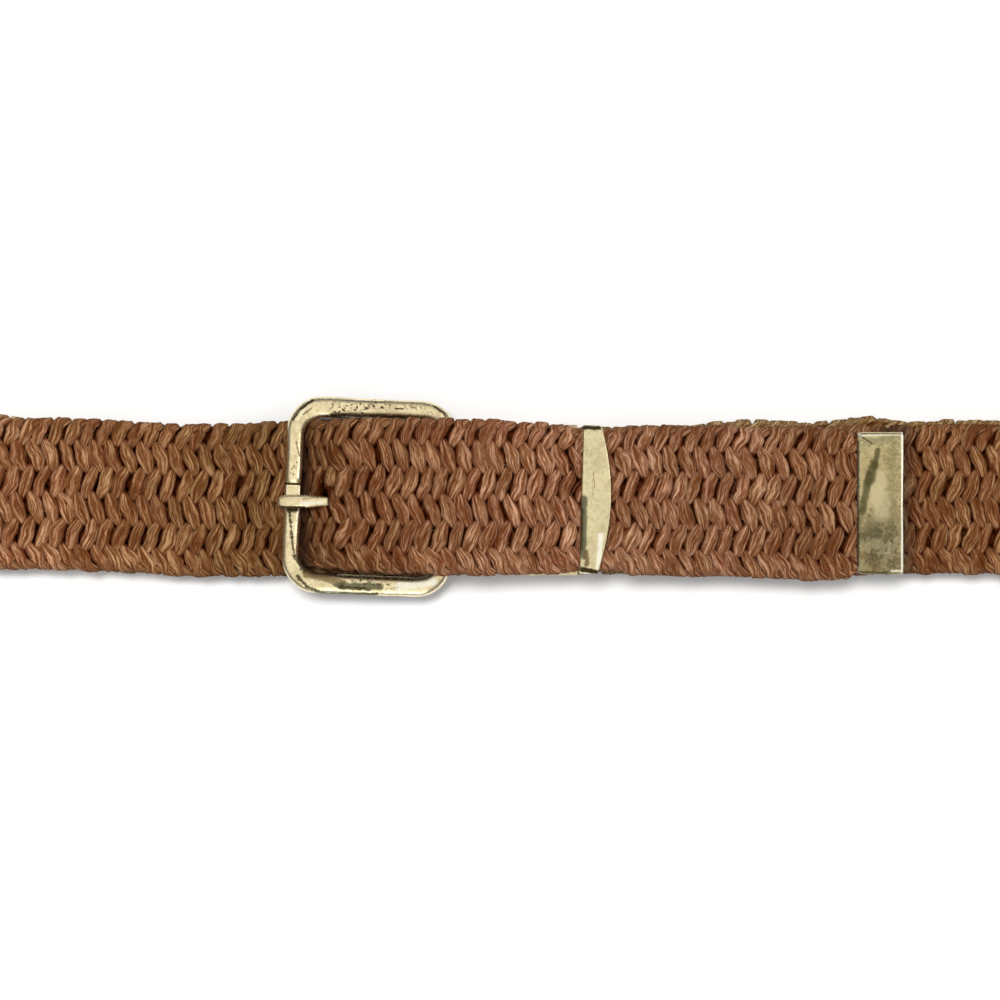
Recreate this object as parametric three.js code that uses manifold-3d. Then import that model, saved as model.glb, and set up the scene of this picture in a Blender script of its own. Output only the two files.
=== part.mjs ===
// A woven jute belt with brass fittings, buckled and laid flat as a closed loop.
// +X runs along the belt towards its free tip, +Y across it, and +Z up from the surface it lies on.
// The origin is on the surface, under the middle of the loop's length and of the buckle's width.
// Lengths are millimetres, and sideways places are measured from the strap's own middle line.
//
// The strap is one flat braid. From its fixed end in the clamp it runs right, turns under at the right
// fold, runs back along the surface, turns up at the left fold, passes under the front bar of the buckle,
// over the heel bar and the clamp, through the keeper, and ends in the tip.

import * as THREE from "three";
import { mergeVertices } from "three/addons/utils/BufferGeometryUtils.js";
import Module from "manifold-3d";

const wasm = await Module();
wasm.setup();

// The strap.
const LAID_LENGTH = 400;
const STRAP_WIDTH = 38;
const STRAP_THICKNESS = 4.6;
const BRAID_ROWS = 6;
const ROW_GROOVE_DEPTH = 0.5;
const ROW_GROOVE_HALF_WIDTH = 1.2;
const EDGE_ROUND_WIDTH = 1.6;
const EDGE_FLANK_SHARE = 0.35;
const FOLD_RADIUS = 8;
const LAYER_GAP = 0.4;
const EASE_LENGTH = 6;
const STEP_DOWN_LENGTH = 26;

// Clearances between separate pieces, and the steps that curved stretches are cut into.
const CLEARANCE = 0.3;
const PIN_CLEARANCE = 0.35;
const FOLD_STEPS = 9;
const LONGEST_STEP = 30;
const HIGHEST_STEP = 1.3;

// The buckle: a cast frame with a thin round heel bar, and a prong that turns on it.
const BUCKLE_LENGTH = 43.8;
const BUCKLE_SIDE_GAP = 1.2;
const BUCKLE_X = -34.3;
const BUCKLE_DRIFT = 0.8;
const BUCKLE_TURN = THREE.MathUtils.degToRad(-2.4);
const FRONT_BAR_WIDTH = 4.4;
const SIDE_BAR_WIDTH = 5.4;
const BAR_THICKNESS = 2.8;
const HEEL_BAR_DIAMETER = 3.2;
const FRAME_CORNER_RADIUS = 7.2;
const SEAT_WIDTH = 6.9;
const SEAT_DEPTH = 0.5;
const SEAT_DRIFT = -0.7;
const PRONG_WIDTH = 3.4;
const PRONG_THICKNESS = 2.2;
const PRONG_OVERHANG = 1.3;
const PRONG_LIP_DEPTH = 1.1;
const PRONG_EYE_WALL = 1.3;
const PRONG_TIP_DRIFT = -0.45;
const CLIMB_LENGTH = 10.5;
const CLIMB_DELAY = 1.6;

// The clamp holds the fixed end of the strap and hooks round the heel bar.
const CLAMP_SHEET = 0.9;
const SLEEVE_LENGTH = 16.2;
const NECK_LENGTH = 17.9;
const NECK_WIDTH = 18;

// The keeper is a sheet loop, wider in the middle of its length than at its sides.
const KEEPER_SHEET = 0.9;
const KEEPER_SIDE_LENGTH = 4.7;
const KEEPER_BOW = 3;
const KEEPER_CROWN = 0.6;
const KEEPER_DRIFT = 0.1;
const KEEPER_TURN = THREE.MathUtils.degToRad(-1.5);
const KEEPER_STEPS = 12;

// The tip is a sheet cap closed over the free end.
const TIP_X = 104.1;
const TIP_LENGTH = 11.9;
const TIP_SHEET = 0.8;
const TIP_CORNER_RADIUS = 1.6;
const TIP_DRIFT = -0.8;

// How far each fitting squeezes the strap: shares of its width, and of its thickness in the tip.
// Before the buckle and over the heel bar the braid spreads instead.
const IN_BUCKLE = 0.99;
const SPREAD = 1.04;
const IN_SLEEVE = 0.965;
const IN_KEEPER = 0.945;
const IN_TIP = 0.908;
const PINCHED_IN_TIP = 0.78;

// Widths of the fittings, from the strap that each one holds.
const gripped = (share, sheet) => share * STRAP_WIDTH + 2 * (CLEARANCE + sheet);
const buckleWidth = STRAP_WIDTH + 2 * (BUCKLE_SIDE_GAP + SIDE_BAR_WIDTH);
const sleeveWidth = gripped(IN_SLEEVE, CLAMP_SHEET);
const keeperWidth = gripped(IN_KEEPER, KEEPER_SHEET);
const tipWidth = gripped(IN_TIP, TIP_SHEET);

// Heights of the strap's middle plane, from the surface up.
const halfThickness = STRAP_THICKNESS / 2;
const backHeight = halfThickness;
const leftHeight = backHeight + STRAP_THICKNESS + LAYER_GAP;
const foldHeight = backHeight + 2 * FOLD_RADIUS;
const clampGap = STRAP_THICKNESS + 2 * CLEARANCE;
const clampHeight = STRAP_THICKNESS + CLEARANCE + CLAMP_SHEET + clampGap / 2;
const clampOuterRadius = clampGap / 2 + CLAMP_SHEET;
const overClampHeight = clampHeight + clampOuterRadius + CLEARANCE + halfThickness;
const fixedHeight = leftHeight;
const freeHeight = fixedHeight + STRAP_THICKNESS + LAYER_GAP;
const pinchedThickness = PINCHED_IN_TIP * STRAP_THICKNESS;
const tipOuterHeight = pinchedThickness + 2 * (CLEARANCE + TIP_SHEET);
const tipHeight = fixedHeight + halfThickness + CLEARANCE + tipOuterHeight / 2;

// Places along the belt.
const foldX = LAID_LENGTH / 2 - FOLD_RADIUS - halfThickness;
const frontBarX = BUCKLE_X - BUCKLE_LENGTH / 2 + FRONT_BAR_WIDTH / 2;
const heelBarX = BUCKLE_X + BUCKLE_LENGTH / 2 - HEEL_BAR_DIAMETER / 2;
const sleeveStartX = heelBarX + NECK_LENGTH;
const sleeveEndX = sleeveStartX + SLEEVE_LENGTH;
const keeperStartX = sleeveEndX + CLEARANCE + (keeperWidth / 2) * Math.sin(-KEEPER_TURN);
const keeperLength = KEEPER_SIDE_LENGTH + KEEPER_BOW;
const keeperEndX = keeperStartX + keeperLength;
const tipStartX = TIP_X - TIP_LENGTH;
const openingLength = 0.54 * (foldX - TIP_X);
const climbStartX = frontBarX + FRONT_BAR_WIDTH / 2 + CLIMB_DELAY;
const climbEndX = climbStartX + CLIMB_LENGTH;

// The front bar lies on the strap, and the frame tips about its heel bar, so its bar slopes a little.
const frameReach = heelBarX - frontBarX;
const levelBarHeight = leftHeight + halfThickness + CLEARANCE + BAR_THICKNESS / 2;
const barSlope = (FRONT_BAR_WIDTH * (levelBarHeight - clampHeight)) / frameReach;
const frontBarHeight = levelBarHeight + barSlope;
const frameTip = Math.asin((frontBarHeight - clampHeight) / frameReach);

const smooth = (t) => t * t * (3 - 2 * t);

// The value at x of a table of rows [x, value], eased from each row to the next.
function eased(rows, x) {
  if (x <= rows[0][0]) return rows[0][1];
  for (let i = 1; i < rows.length; i++) {
    const [x0, v0] = rows[i - 1];
    const [x1, v1] = rows[i];
    if (x <= x1) return v0 + (v1 - v0) * smooth((x - x0) / (x1 - x0));
  }
  return rows[rows.length - 1][1];
}

// Each run of the strap has rows [x, value] for the height of its middle plane, its sideways drift,
// its width as a share of the full width, and its thickness. Drifts are shares of the strap's width.
const RIGHT_DRIFT = 0.004;
const LEFT_DRIFT = 0.068;
const fixedRun = {
  height: [
    [sleeveStartX + 1, clampHeight],
    [keeperEndX + 2, clampHeight],
    [keeperEndX + STEP_DOWN_LENGTH, fixedHeight],
    [foldX - openingLength, fixedHeight],
    [foldX, foldHeight],
  ],
  drift: [
    [sleeveEndX - 3, 0],
    [sleeveEndX - 0.5, KEEPER_DRIFT / STRAP_WIDTH],
    [keeperEndX, KEEPER_DRIFT / STRAP_WIDTH],
    [0.5 * (keeperEndX + TIP_X), -0.012],
    [TIP_X + TIP_LENGTH, 0.003],
    [foldX, RIGHT_DRIFT],
  ],
  width: [
    [sleeveEndX - 3, IN_SLEEVE],
    [sleeveEndX - 0.5, IN_KEEPER],
    [keeperEndX, IN_KEEPER],
    [keeperEndX + EASE_LENGTH, 1],
  ],
  thickness: [[0, STRAP_THICKNESS]],
};
const backRun = {
  height: [[0, backHeight]],
  drift: [
    [-foldX, LEFT_DRIFT],
    [-0.7 * foldX, 0.08],
    [-0.6 * foldX, 0.03],
    [-0.5 * foldX, 0],
    [0.22 * foldX, 0],
    [0.35 * foldX, 0.045],
    [0.41 * foldX, 0.033],
    [0.52 * foldX, 0.066],
    [0.58 * foldX, 0.036],
    [0.63 * foldX, 0.052],
    [0.7 * foldX, 0.042],
    [foldX, RIGHT_DRIFT],
  ],
  width: [[0, 1]],
  thickness: [[0, STRAP_THICKNESS]],
};
const freeRun = {
  height: [
    [-foldX, foldHeight],
    [-foldX + openingLength, leftHeight],
    [climbStartX, leftHeight],
    [climbEndX, overClampHeight],
    [sleeveEndX, overClampHeight],
    [keeperEndX + STEP_DOWN_LENGTH, freeHeight],
    [tipStartX - TIP_LENGTH, freeHeight],
    [tipStartX, tipHeight],
  ],
  drift: [
    [-foldX, LEFT_DRIFT],
    [-0.66 * foldX, 0.042],
    [-0.55 * foldX, 0.033],
    [-0.42 * foldX, 0.001],
    [frontBarX - EASE_LENGTH, 0.003],
    [climbStartX, 0.04],
    [climbEndX, 0.04],
    [heelBarX, 0.022],
    [sleeveEndX - 4, 0.012],
    [keeperStartX, KEEPER_DRIFT / STRAP_WIDTH],
    [keeperEndX, KEEPER_DRIFT / STRAP_WIDTH],
    [0.6 * keeperEndX + 0.4 * tipStartX, -0.009],
    [tipStartX - EASE_LENGTH, -0.031],
    [tipStartX - 0.5, TIP_DRIFT / STRAP_WIDTH],
  ],
  width: [
    [-foldX, 1],
    [-0.66 * foldX, 1.02],
    [frontBarX - EASE_LENGTH, SPREAD],
    [climbStartX, IN_BUCKLE],
    [climbEndX - EASE_LENGTH / 2, IN_BUCKLE],
    [climbEndX + EASE_LENGTH, SPREAD],
    [heelBarX + EASE_LENGTH, SPREAD],
    [keeperStartX - EASE_LENGTH, 1],
    [keeperStartX, IN_KEEPER],
    [keeperEndX, IN_KEEPER],
    [keeperEndX + EASE_LENGTH, 1],
    [tipStartX - EASE_LENGTH, 1.02],
    [tipStartX - 3.5, 1],
    [tipStartX - 0.5, IN_TIP],
  ],
  thickness: [
    [tipStartX - 3.5, STRAP_THICKNESS],
    [tipStartX - 0.5, pinchedThickness],
  ],
};

// The x places where a run needs a section, from x0 to x1.
function runPlaces(run, x0, x1) {
  const marks = new Set([x0, x1]);
  for (const rows of Object.values(run)) {
    for (const [x] of rows) {
      if (x > x0 + 1 && x < x1 - 1) marks.add(x);
    }
  }
  const sorted = [...marks].sort((a, b) => a - b);
  const places = [sorted[0]];
  for (let i = 1; i < sorted.length; i++) {
    const from = places[places.length - 1];
    const to = sorted[i];
    if (to - from < 1.2 && to !== x1) continue;
    const rise = Math.abs(eased(run.height, to) - eased(run.height, from));
    const steps = Math.ceil(Math.max((to - from) / LONGEST_STEP, rise / HIGHEST_STEP));
    for (let k = 1; k <= steps; k++) places.push(from + ((to - from) * k) / steps);
  }
  return places;
}

// One station of the strap: its middle point, the heading of its run in the XZ plane, width and thickness.
function runStation(run, x, facing) {
  const step = 0.05;
  const slope = (eased(run.height, x + step) - eased(run.height, x - step)) / (2 * step);
  const heading = Math.atan(slope) + (facing > 0 ? 0 : Math.PI);
  return {
    middle: new THREE.Vector3(x, eased(run.drift, x) * STRAP_WIDTH, eased(run.height, x)),
    heading,
    width: eased(run.width, x) * STRAP_WIDTH,
    thickness: eased(run.thickness, x),
  };
}

// The stations round a fold. The right fold starts on top and turns under; the left one turns back up.
function foldStations(side) {
  const stations = [];
  for (let k = 1; k < FOLD_STEPS; k++) {
    const turned = (Math.PI * k) / FOLD_STEPS;
    const heading = side > 0 ? -turned : Math.PI - turned;
    const drift = (side > 0 ? RIGHT_DRIFT : LEFT_DRIFT) * STRAP_WIDTH;
    const x = side * foldX - Math.sin(heading) * FOLD_RADIUS;
    const z = backHeight + FOLD_RADIUS + Math.cos(heading) * FOLD_RADIUS;
    stations.push({
      middle: new THREE.Vector3(x, drift, z),
      heading,
      width: STRAP_WIDTH,
      thickness: STRAP_THICKNESS,
    });
  }
  return stations;
}

// The cross-section of the braid: flat crowned rows with a groove between them and rounded edges,
// as [across, up] points counter-clockwise.
function strapOutline(width, thickness) {
  const half = width / 2;
  const top = thickness / 2;
  const row = width / BRAID_ROWS;
  const upper = [
    [half, top * EDGE_FLANK_SHARE],
    [half - EDGE_ROUND_WIDTH, top],
  ];
  for (let i = BRAID_ROWS - 1; i > 0; i--) {
    const groove = -half + i * row;
    upper.push([groove + ROW_GROOVE_HALF_WIDTH, top]);
    upper.push([groove, top - ROW_GROOVE_DEPTH]);
    upper.push([groove - ROW_GROOVE_HALF_WIDTH, top]);
  }
  upper.push([EDGE_ROUND_WIDTH - half, top], [-half, top * EDGE_FLANK_SHARE]);
  const lower = upper.map(([a, b]) => [a, -b]).reverse();
  return [...upper, ...lower];
}

// A closed solid through rings of points with a like number of points each. Its ends are filled from
// the flat outline given, unless the rings join up as a closed loop.
function loft(rings, outline, closed = false) {
  const count = rings[0].length;
  const positions = rings.flat().flatMap((p) => [p.x, p.y, p.z]);
  const faces = [];
  const spans = closed ? rings.length : rings.length - 1;
  for (let i = 0; i < spans; i++) {
    const next = (i + 1) % rings.length;
    for (let k = 0; k < count; k++) {
      const a = i * count + k;
      const b = i * count + ((k + 1) % count);
      const c = next * count + ((k + 1) % count);
      const d = next * count + k;
      faces.push(a, b, c, a, c, d);
    }
  }
  if (!closed) {
    const flat = outline.map(([a, b]) => new THREE.Vector2(a, b));
    const last = (rings.length - 1) * count;
    for (const [a, b, c] of THREE.ShapeUtils.triangulateShape(flat, [])) {
      faces.push(a, c, b, last + a, last + b, last + c);
    }
  }
  const geometry = new THREE.BufferGeometry();
  geometry.setAttribute("position", new THREE.Float32BufferAttribute(positions, 3));
  geometry.setIndex(faces);
  return geometry;
}

// A geometry as a solid for joining and cutting, and back.
function toSolid(geometry) {
  const bare = (geometry.index ? geometry.toNonIndexed() : geometry).clone();
  bare.deleteAttribute("normal");
  bare.deleteAttribute("uv");
  const merged = mergeVertices(bare, 1e-4);
  const made = new wasm.Manifold(
    new wasm.Mesh({
      numProp: 3,
      vertProperties: merged.attributes.position.array,
      triVerts: new Uint32Array(merged.index.array),
    }),
  );
  if (made.volume() > 0) return made;
  const turned = merged.index.array.slice();
  for (let i = 0; i < turned.length; i += 3) [turned[i], turned[i + 1]] = [turned[i + 1], turned[i]];
  return new wasm.Manifold(
    new wasm.Mesh({
      numProp: 3,
      vertProperties: merged.attributes.position.array,
      triVerts: new Uint32Array(turned),
    }),
  );
}

function toGeometry(solid) {
  const mesh = solid.getMesh();
  const geometry = new THREE.BufferGeometry();
  geometry.setAttribute("position", new THREE.Float32BufferAttribute(mesh.vertProperties, 3));
  geometry.setIndex(new THREE.BufferAttribute(mesh.triVerts, 1));
  return geometry;
}

// A box between two corners.
function boxBetween(low, high) {
  const size = high.map((v, i) => v - low[i]);
  const middle = high.map((v, i) => (v + low[i]) / 2);
  return new THREE.BoxGeometry(...size).translate(...middle);
}

// A shape drawn in the XZ plane, given a length along Y about the middle y.
function acrossBelt(shape, length, y) {
  const geometry = new THREE.ExtrudeGeometry(shape, {
    depth: length,
    bevelEnabled: false,
    curveSegments: 10,
  });
  return geometry.rotateX(Math.PI / 2).translate(0, y + length / 2, 0);
}

// The middle line of the prong in the XZ plane as rows [x, z], from its eye to its tip.
const prongUnderBar = frontBarHeight + BAR_THICKNESS / 2 - SEAT_DEPTH + CLEARANCE + barSlope / 2;
const prongTopZ = prongUnderBar + PRONG_THICKNESS / 2;
const prongTipX = frontBarX - FRONT_BAR_WIDTH / 2 - PRONG_OVERHANG;
const prongFall = prongTopZ - clampHeight;
const prongEyeBore = HEEL_BAR_DIAMETER / 2 + PIN_CLEARANCE;
const prongLine = [
  [heelBarX - prongEyeBore - PRONG_EYE_WALL / 2, clampHeight + 0.08 * prongFall],
  [BUCKLE_X + 2, clampHeight + 0.3 * prongFall],
  [climbEndX - 1, clampHeight + 0.46 * prongFall],
  [climbStartX + 5, clampHeight + 0.74 * prongFall],
  [climbStartX, clampHeight + 0.96 * prongFall],
  [frontBarX, prongTopZ],
  [prongTipX + 1.1, prongTopZ - 0.1],
  [prongTipX, prongTopZ - 0.5],
];

// How far the prong has drifted sideways at x, from its eye on the heel bar to its tip.
const prongDrift = (x) => (PRONG_TIP_DRIFT * (heelBarX - x)) / (heelBarX - prongTipX);

// An eight-sided bar section, as [across, up] points counter-clockwise.
function barOutline(width, thickness) {
  const flat = 0.55;
  const [a, b] = [width / 2, thickness / 2];
  return [
    [a, -b * flat],
    [a, b * flat],
    [a * flat, b],
    [-a * flat, b],
    [-a, b * flat],
    [-a, -b * flat],
    [-a * flat, -b],
    [a * flat, -b],
  ];
}

// The prong's bar along its middle line from row `first` to row `last`, made thicker by `grown` all round.
function prongBar(first, last, grown) {
  const rows = prongLine.slice(first, last + 1);
  const rings = rows.map(([x, z], i) => {
    const before = rows[Math.max(i - 1, 0)];
    const after = rows[Math.min(i + 1, rows.length - 1)];
    const tilt = Math.atan2(after[1] - before[1], before[0] - after[0]);
    const atTip = grown === 0 && x === prongTipX;
    const wide = (atTip ? 0.72 : 1) * PRONG_WIDTH + 2 * grown;
    const thick = (atTip ? 0.62 : 1) * PRONG_THICKNESS + 2 * grown;
    return barOutline(wide, thick).map(
      ([a, b]) => new THREE.Vector3(x + b * Math.sin(tilt), prongDrift(x) + a, z + b * Math.cos(tilt)),
    );
  });
  return loft(rings, barOutline(PRONG_WIDTH, PRONG_THICKNESS));
}

// The braided strap, with the opening between its strands that the prong passes through.
function makeStrap() {
  const freeEndX = TIP_X - TIP_SHEET - CLEARANCE;
  const fixedEndX = sleeveStartX + 1;
  const stations = [
    ...runPlaces(fixedRun, fixedEndX, foldX).map((x) => runStation(fixedRun, x, 1)),
    ...foldStations(1),
    ...runPlaces(backRun, -foldX, foldX)
      .reverse()
      .map((x) => runStation(backRun, x, -1)),
    ...foldStations(-1),
    ...runPlaces(freeRun, -foldX, freeEndX).map((x) => runStation(freeRun, x, 1)),
  ];
  const rings = stations.map(({ middle, heading, width, thickness }) =>
    strapOutline(width, thickness).map(
      ([a, b]) =>
        new THREE.Vector3(
          middle.x - b * Math.sin(heading),
          middle.y - a,
          middle.z + b * Math.cos(heading),
        ),
    ),
  );
  const band = toSolid(loft(rings, strapOutline(STRAP_WIDTH, STRAP_THICKNESS)));
  const opening = toSolid(prongBar(1, 5, PIN_CLEARANCE));
  return toGeometry(band.subtract(opening));
}

// The D-shaped section of a cast bar, or a round one where round is 1, as [across, up] points.
function castOutline(width, thickness, round) {
  const rows = [
    [1, -0.55],
    [1, 0.1],
    [0.72, 0.72],
    [0.28, 1],
    [-0.28, 1],
    [-0.72, 0.72],
    [-1, 0.1],
    [-1, -0.55],
    [-0.84, -1],
    [0.84, -1],
  ];
  return rows.map(([a, b]) => {
    const size = Math.hypot(a, b);
    const across = a + (a / size - a) * round;
    const up = b + (b / size - b) * round;
    return [(across * width) / 2, (up * thickness) / 2];
  });
}

// The buckle's frame in its own plane, about its middle: rings round a rounded rectangle.
function makeBuckleFrame() {
  const leftX = frontBarX - BUCKLE_X;
  const rightX = heelBarX - BUCKLE_X;
  const sideY = buckleWidth / 2 - SIDE_BAR_WIDTH / 2;
  const r = FRAME_CORNER_RADIUS;
  const heelInset = 1.5;
  const bar = (x, y, angle, width, thickness = BAR_THICKNESS, round = 0) => ({
    x,
    y,
    angle,
    width,
    thickness,
    round,
  });
  const corner = (cx, cy, from, widths) =>
    widths.map((width, i) => {
      const angle = from - ((Math.PI / 2) * i) / (widths.length - 1);
      return bar(cx + Math.cos(angle) * r, cy + Math.sin(angle) * r, angle, width);
    });
  const front = FRONT_BAR_WIDTH;
  const side = SIDE_BAR_WIDTH;
  const heel = HEEL_BAR_DIAMETER;
  const middling = (front + side) / 2;
  const towardsSide = [front, middling, middling + 0.3, side, side];
  const towardsHeel = [side, side, side - 0.4, side - 1, side - 1.6];
  const quarter = Math.PI / 2;
  const stations = [
    ...corner(leftX + r, sideY - r, Math.PI, towardsSide),
    bar(0, sideY, quarter, side),
    ...corner(rightX - r, sideY - r, quarter, towardsHeel),
    bar(rightX, sideY - r - heelInset, 0, heel, heel, 1),
    bar(rightX, r + heelInset - sideY, 0, heel, heel, 1),
    ...corner(rightX - r, r - sideY, 0, [...towardsHeel].reverse()),
    bar(0, -sideY, -quarter, side),
    ...corner(leftX + r, r - sideY, -quarter, [...towardsSide].reverse()),
  ];
  const rings = stations.map(({ x, y, angle, width, thickness, round }) =>
    castOutline(width, thickness, round).map(
      ([a, b]) => new THREE.Vector3(x + a * Math.cos(angle), y + a * Math.sin(angle), b),
    ),
  );
  const seatFloor = BAR_THICKNESS / 2 - SEAT_DEPTH;
  const seat = boxBetween(
    [leftX - FRONT_BAR_WIDTH, SEAT_DRIFT - SEAT_WIDTH / 2, seatFloor],
    [leftX + FRONT_BAR_WIDTH, SEAT_DRIFT + SEAT_WIDTH / 2, BAR_THICKNESS],
  );
  return toGeometry(toSolid(loft(rings, [], true)).subtract(toSolid(seat)));
}

// The prong: an eye round the heel bar, a bar, and a lip turned down over the front bar.
function makeProng() {
  const bore = prongEyeBore;
  const eye = new THREE.Shape().absarc(heelBarX, clampHeight, bore + PRONG_EYE_WALL, 0, 2 * Math.PI);
  eye.holes.push(new THREE.Path().absarc(heelBarX, clampHeight, bore, 0, 2 * Math.PI, true));
  const lipTop = prongTopZ - 0.5;
  const lip = boxBetween(
    [prongTipX - 0.1, prongDrift(prongTipX) - 0.36 * PRONG_WIDTH, prongUnderBar - PRONG_LIP_DEPTH],
    [prongTipX + PRONG_OVERHANG - CLEARANCE, prongDrift(prongTipX) + 0.36 * PRONG_WIDTH, lipTop],
  );
  const made = toSolid(acrossBelt(eye, PRONG_WIDTH, 0))
    .add(toSolid(prongBar(0, prongLine.length - 1, 0)))
    .add(toSolid(lip));
  return toGeometry(made);
}

// The clamp: a sleeve round the strap's end, and two plates that join in a hook round the heel bar.
function makeClamp() {
  const outer = clampOuterRadius;
  const inner = clampGap / 2;
  const hook = new THREE.Shape();
  hook.moveTo(sleeveStartX + 1, clampHeight + outer);
  hook.absarc(heelBarX, clampHeight, outer, Math.PI / 2, (3 * Math.PI) / 2);
  hook.lineTo(sleeveStartX + 1, clampHeight - outer);
  hook.lineTo(sleeveStartX + 1, clampHeight - inner);
  hook.absarc(heelBarX, clampHeight, inner, (3 * Math.PI) / 2, Math.PI / 2, true);
  hook.lineTo(sleeveStartX + 1, clampHeight + inner);
  const sleeve = boxBetween(
    [sleeveStartX, -sleeveWidth / 2, clampHeight - outer],
    [sleeveEndX, sleeveWidth / 2, clampHeight + outer],
  );
  const hollow = boxBetween(
    [sleeveStartX - 1, CLAMP_SHEET - sleeveWidth / 2, clampHeight - inner],
    [sleeveEndX + 1, sleeveWidth / 2 - CLAMP_SHEET, clampHeight + inner],
  );
  const slotHalf = PRONG_WIDTH / 2 + 2 * PIN_CLEARANCE;
  const slot = boxBetween(
    [heelBarX - outer - 1, -slotHalf, clampHeight - outer - 1],
    [heelBarX + outer + 1.5, slotHalf, clampHeight + outer + 1],
  );
  const made = toSolid(acrossBelt(hook, NECK_WIDTH, 0))
    .add(toSolid(sleeve))
    .subtract(toSolid(hollow))
    .subtract(toSolid(slot));
  return toGeometry(made);
}

// A closed band outline in the YZ plane, with its top arched by crown, as rows [y, z].
function keeperOutline(half, low, high, crown) {
  const corner = 0.5;
  const arch = [];
  for (let k = 0; k <= KEEPER_STEPS; k++) {
    const share = 1 - (2 * k) / KEEPER_STEPS;
    arch.push([share * (half - corner), high + crown * (1 - share * share)]);
  }
  return [
    [corner - half, low],
    [half - corner, low],
    [half, low + corner],
    [half, high - corner],
    ...arch,
    [-half, high - corner],
    [-half, low + corner],
  ];
}

// The keeper about its own middle: a sheet band round both layers, its right edge bowed outwards.
function makeKeeper() {
  const half = keeperWidth / 2;
  const innerLow = clampHeight - halfThickness - CLEARANCE;
  const innerHigh = overClampHeight + halfThickness + CLEARANCE;
  const band = (outline) => {
    const shape = new THREE.Shape(outline.map(([y, z]) => new THREE.Vector2(y, z)));
    const prism = new THREE.ExtrudeGeometry(shape, { depth: keeperLength, bevelEnabled: false });
    // Drawn with y right and z up, then stood so that its depth runs along +X.
    prism.applyMatrix4(new THREE.Matrix4().set(0, 0, 1, 0, 1, 0, 0, 0, 0, 1, 0, 0, 0, 0, 0, 1));
    return toSolid(prism.translate(-keeperLength / 2, 0, 0));
  };
  const outer = band(
    keeperOutline(half, innerLow - KEEPER_SHEET, innerHigh + KEEPER_SHEET, KEEPER_CROWN),
  );
  const inner = band(keeperOutline(half - KEEPER_SHEET, innerLow, innerHigh, KEEPER_CROWN));
  const plan = new THREE.Shape();
  plan.moveTo(-keeperLength / 2, -half);
  for (let k = 0; k <= KEEPER_STEPS; k++) {
    const share = (2 * k) / KEEPER_STEPS - 1;
    const bow = KEEPER_BOW * (1 - share * share);
    plan.lineTo(KEEPER_SIDE_LENGTH + bow - keeperLength / 2, share * half);
  }
  plan.lineTo(-keeperLength / 2, half);
  const height = innerHigh + KEEPER_SHEET + KEEPER_CROWN + 1;
  const bowed = new THREE.ExtrudeGeometry(plan, { depth: height, bevelEnabled: false });
  return toGeometry(outer.subtract(inner).intersect(toSolid(bowed)));
}

// The tip: a flat box of sheet with a closed end, open towards the strap.
function makeTip() {
  const half = tipWidth / 2;
  const r = TIP_CORNER_RADIUS;
  const low = tipHeight - tipOuterHeight / 2;
  const plan = new THREE.Shape();
  plan.moveTo(TIP_X, TIP_DRIFT - half);
  plan.lineTo(TIP_X, TIP_DRIFT + half);
  plan.lineTo(tipStartX + r, TIP_DRIFT + half);
  plan.absarc(tipStartX + r, TIP_DRIFT + half - r, r, Math.PI / 2, Math.PI);
  plan.lineTo(tipStartX, TIP_DRIFT - half + r);
  plan.absarc(tipStartX + r, TIP_DRIFT - half + r, r, Math.PI, (3 * Math.PI) / 2);
  const shell = new THREE.ExtrudeGeometry(plan, {
    depth: tipOuterHeight,
    bevelEnabled: false,
    curveSegments: 4,
  }).translate(0, 0, low);
  const hollow = boxBetween(
    [tipStartX - 1, TIP_DRIFT - half + TIP_SHEET, low + TIP_SHEET],
    [TIP_X - TIP_SHEET, TIP_DRIFT + half - TIP_SHEET, low + tipOuterHeight - TIP_SHEET],
  );
  return toGeometry(toSolid(shell).subtract(toSolid(hollow)));
}

// One named mesh with a material of its own.
function named(name, geometry, color, roughness, metalness) {
  const material = new THREE.MeshStandardMaterial({ color, roughness, metalness });
  const mesh = new THREE.Mesh(geometry, material);
  mesh.name = name;
  return mesh;
}

const belt = new THREE.Group();
belt.add(named("braided_strap", makeStrap(), 0x855b40, 0.95, 0));
belt.add(named("prong", makeProng(), 0xd9c69a, 0.3, 1));
belt.add(named("end_clamp", makeClamp(), 0xc8bb94, 0.35, 1));
belt.add(named("tip", makeTip(), 0xa8976a, 0.42, 1));

const keeper = named("keeper", makeKeeper(), 0xd9c99b, 0.3, 1);
keeper.position.set(keeperStartX + keeperLength / 2, KEEPER_DRIFT, 0);
keeper.rotation.z = KEEPER_TURN;
belt.add(keeper);

// The frame tips about its heel bar, inside a group that is turned about the buckle's middle.
const frame = named("buckle_frame", makeBuckleFrame(), 0xd2be93, 0.34, 1);
frame.position.x = BUCKLE_X - heelBarX;
const tipped = new THREE.Group();
tipped.position.x = heelBarX - BUCKLE_X;
tipped.rotation.y = frameTip;
tipped.add(frame);
const turned = new THREE.Group();
turned.position.set(BUCKLE_X, BUCKLE_DRIFT, clampHeight);
turned.rotation.z = BUCKLE_TURN;
turned.add(tipped);
belt.add(turned);
belt.position.y = -BUCKLE_DRIFT;

export default belt;
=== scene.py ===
"""The looks of a braided jute belt with brass fittings, fastened and laid flat as a closed loop.

Sizes are millimetres on the strap's own middle line, as in the part's source. They become metres in the
part's frame when a mesh is made.
"""

import logging
import math
from collections.abc import Sequence
from dataclasses import dataclass, field
from enum import Enum, IntEnum

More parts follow.
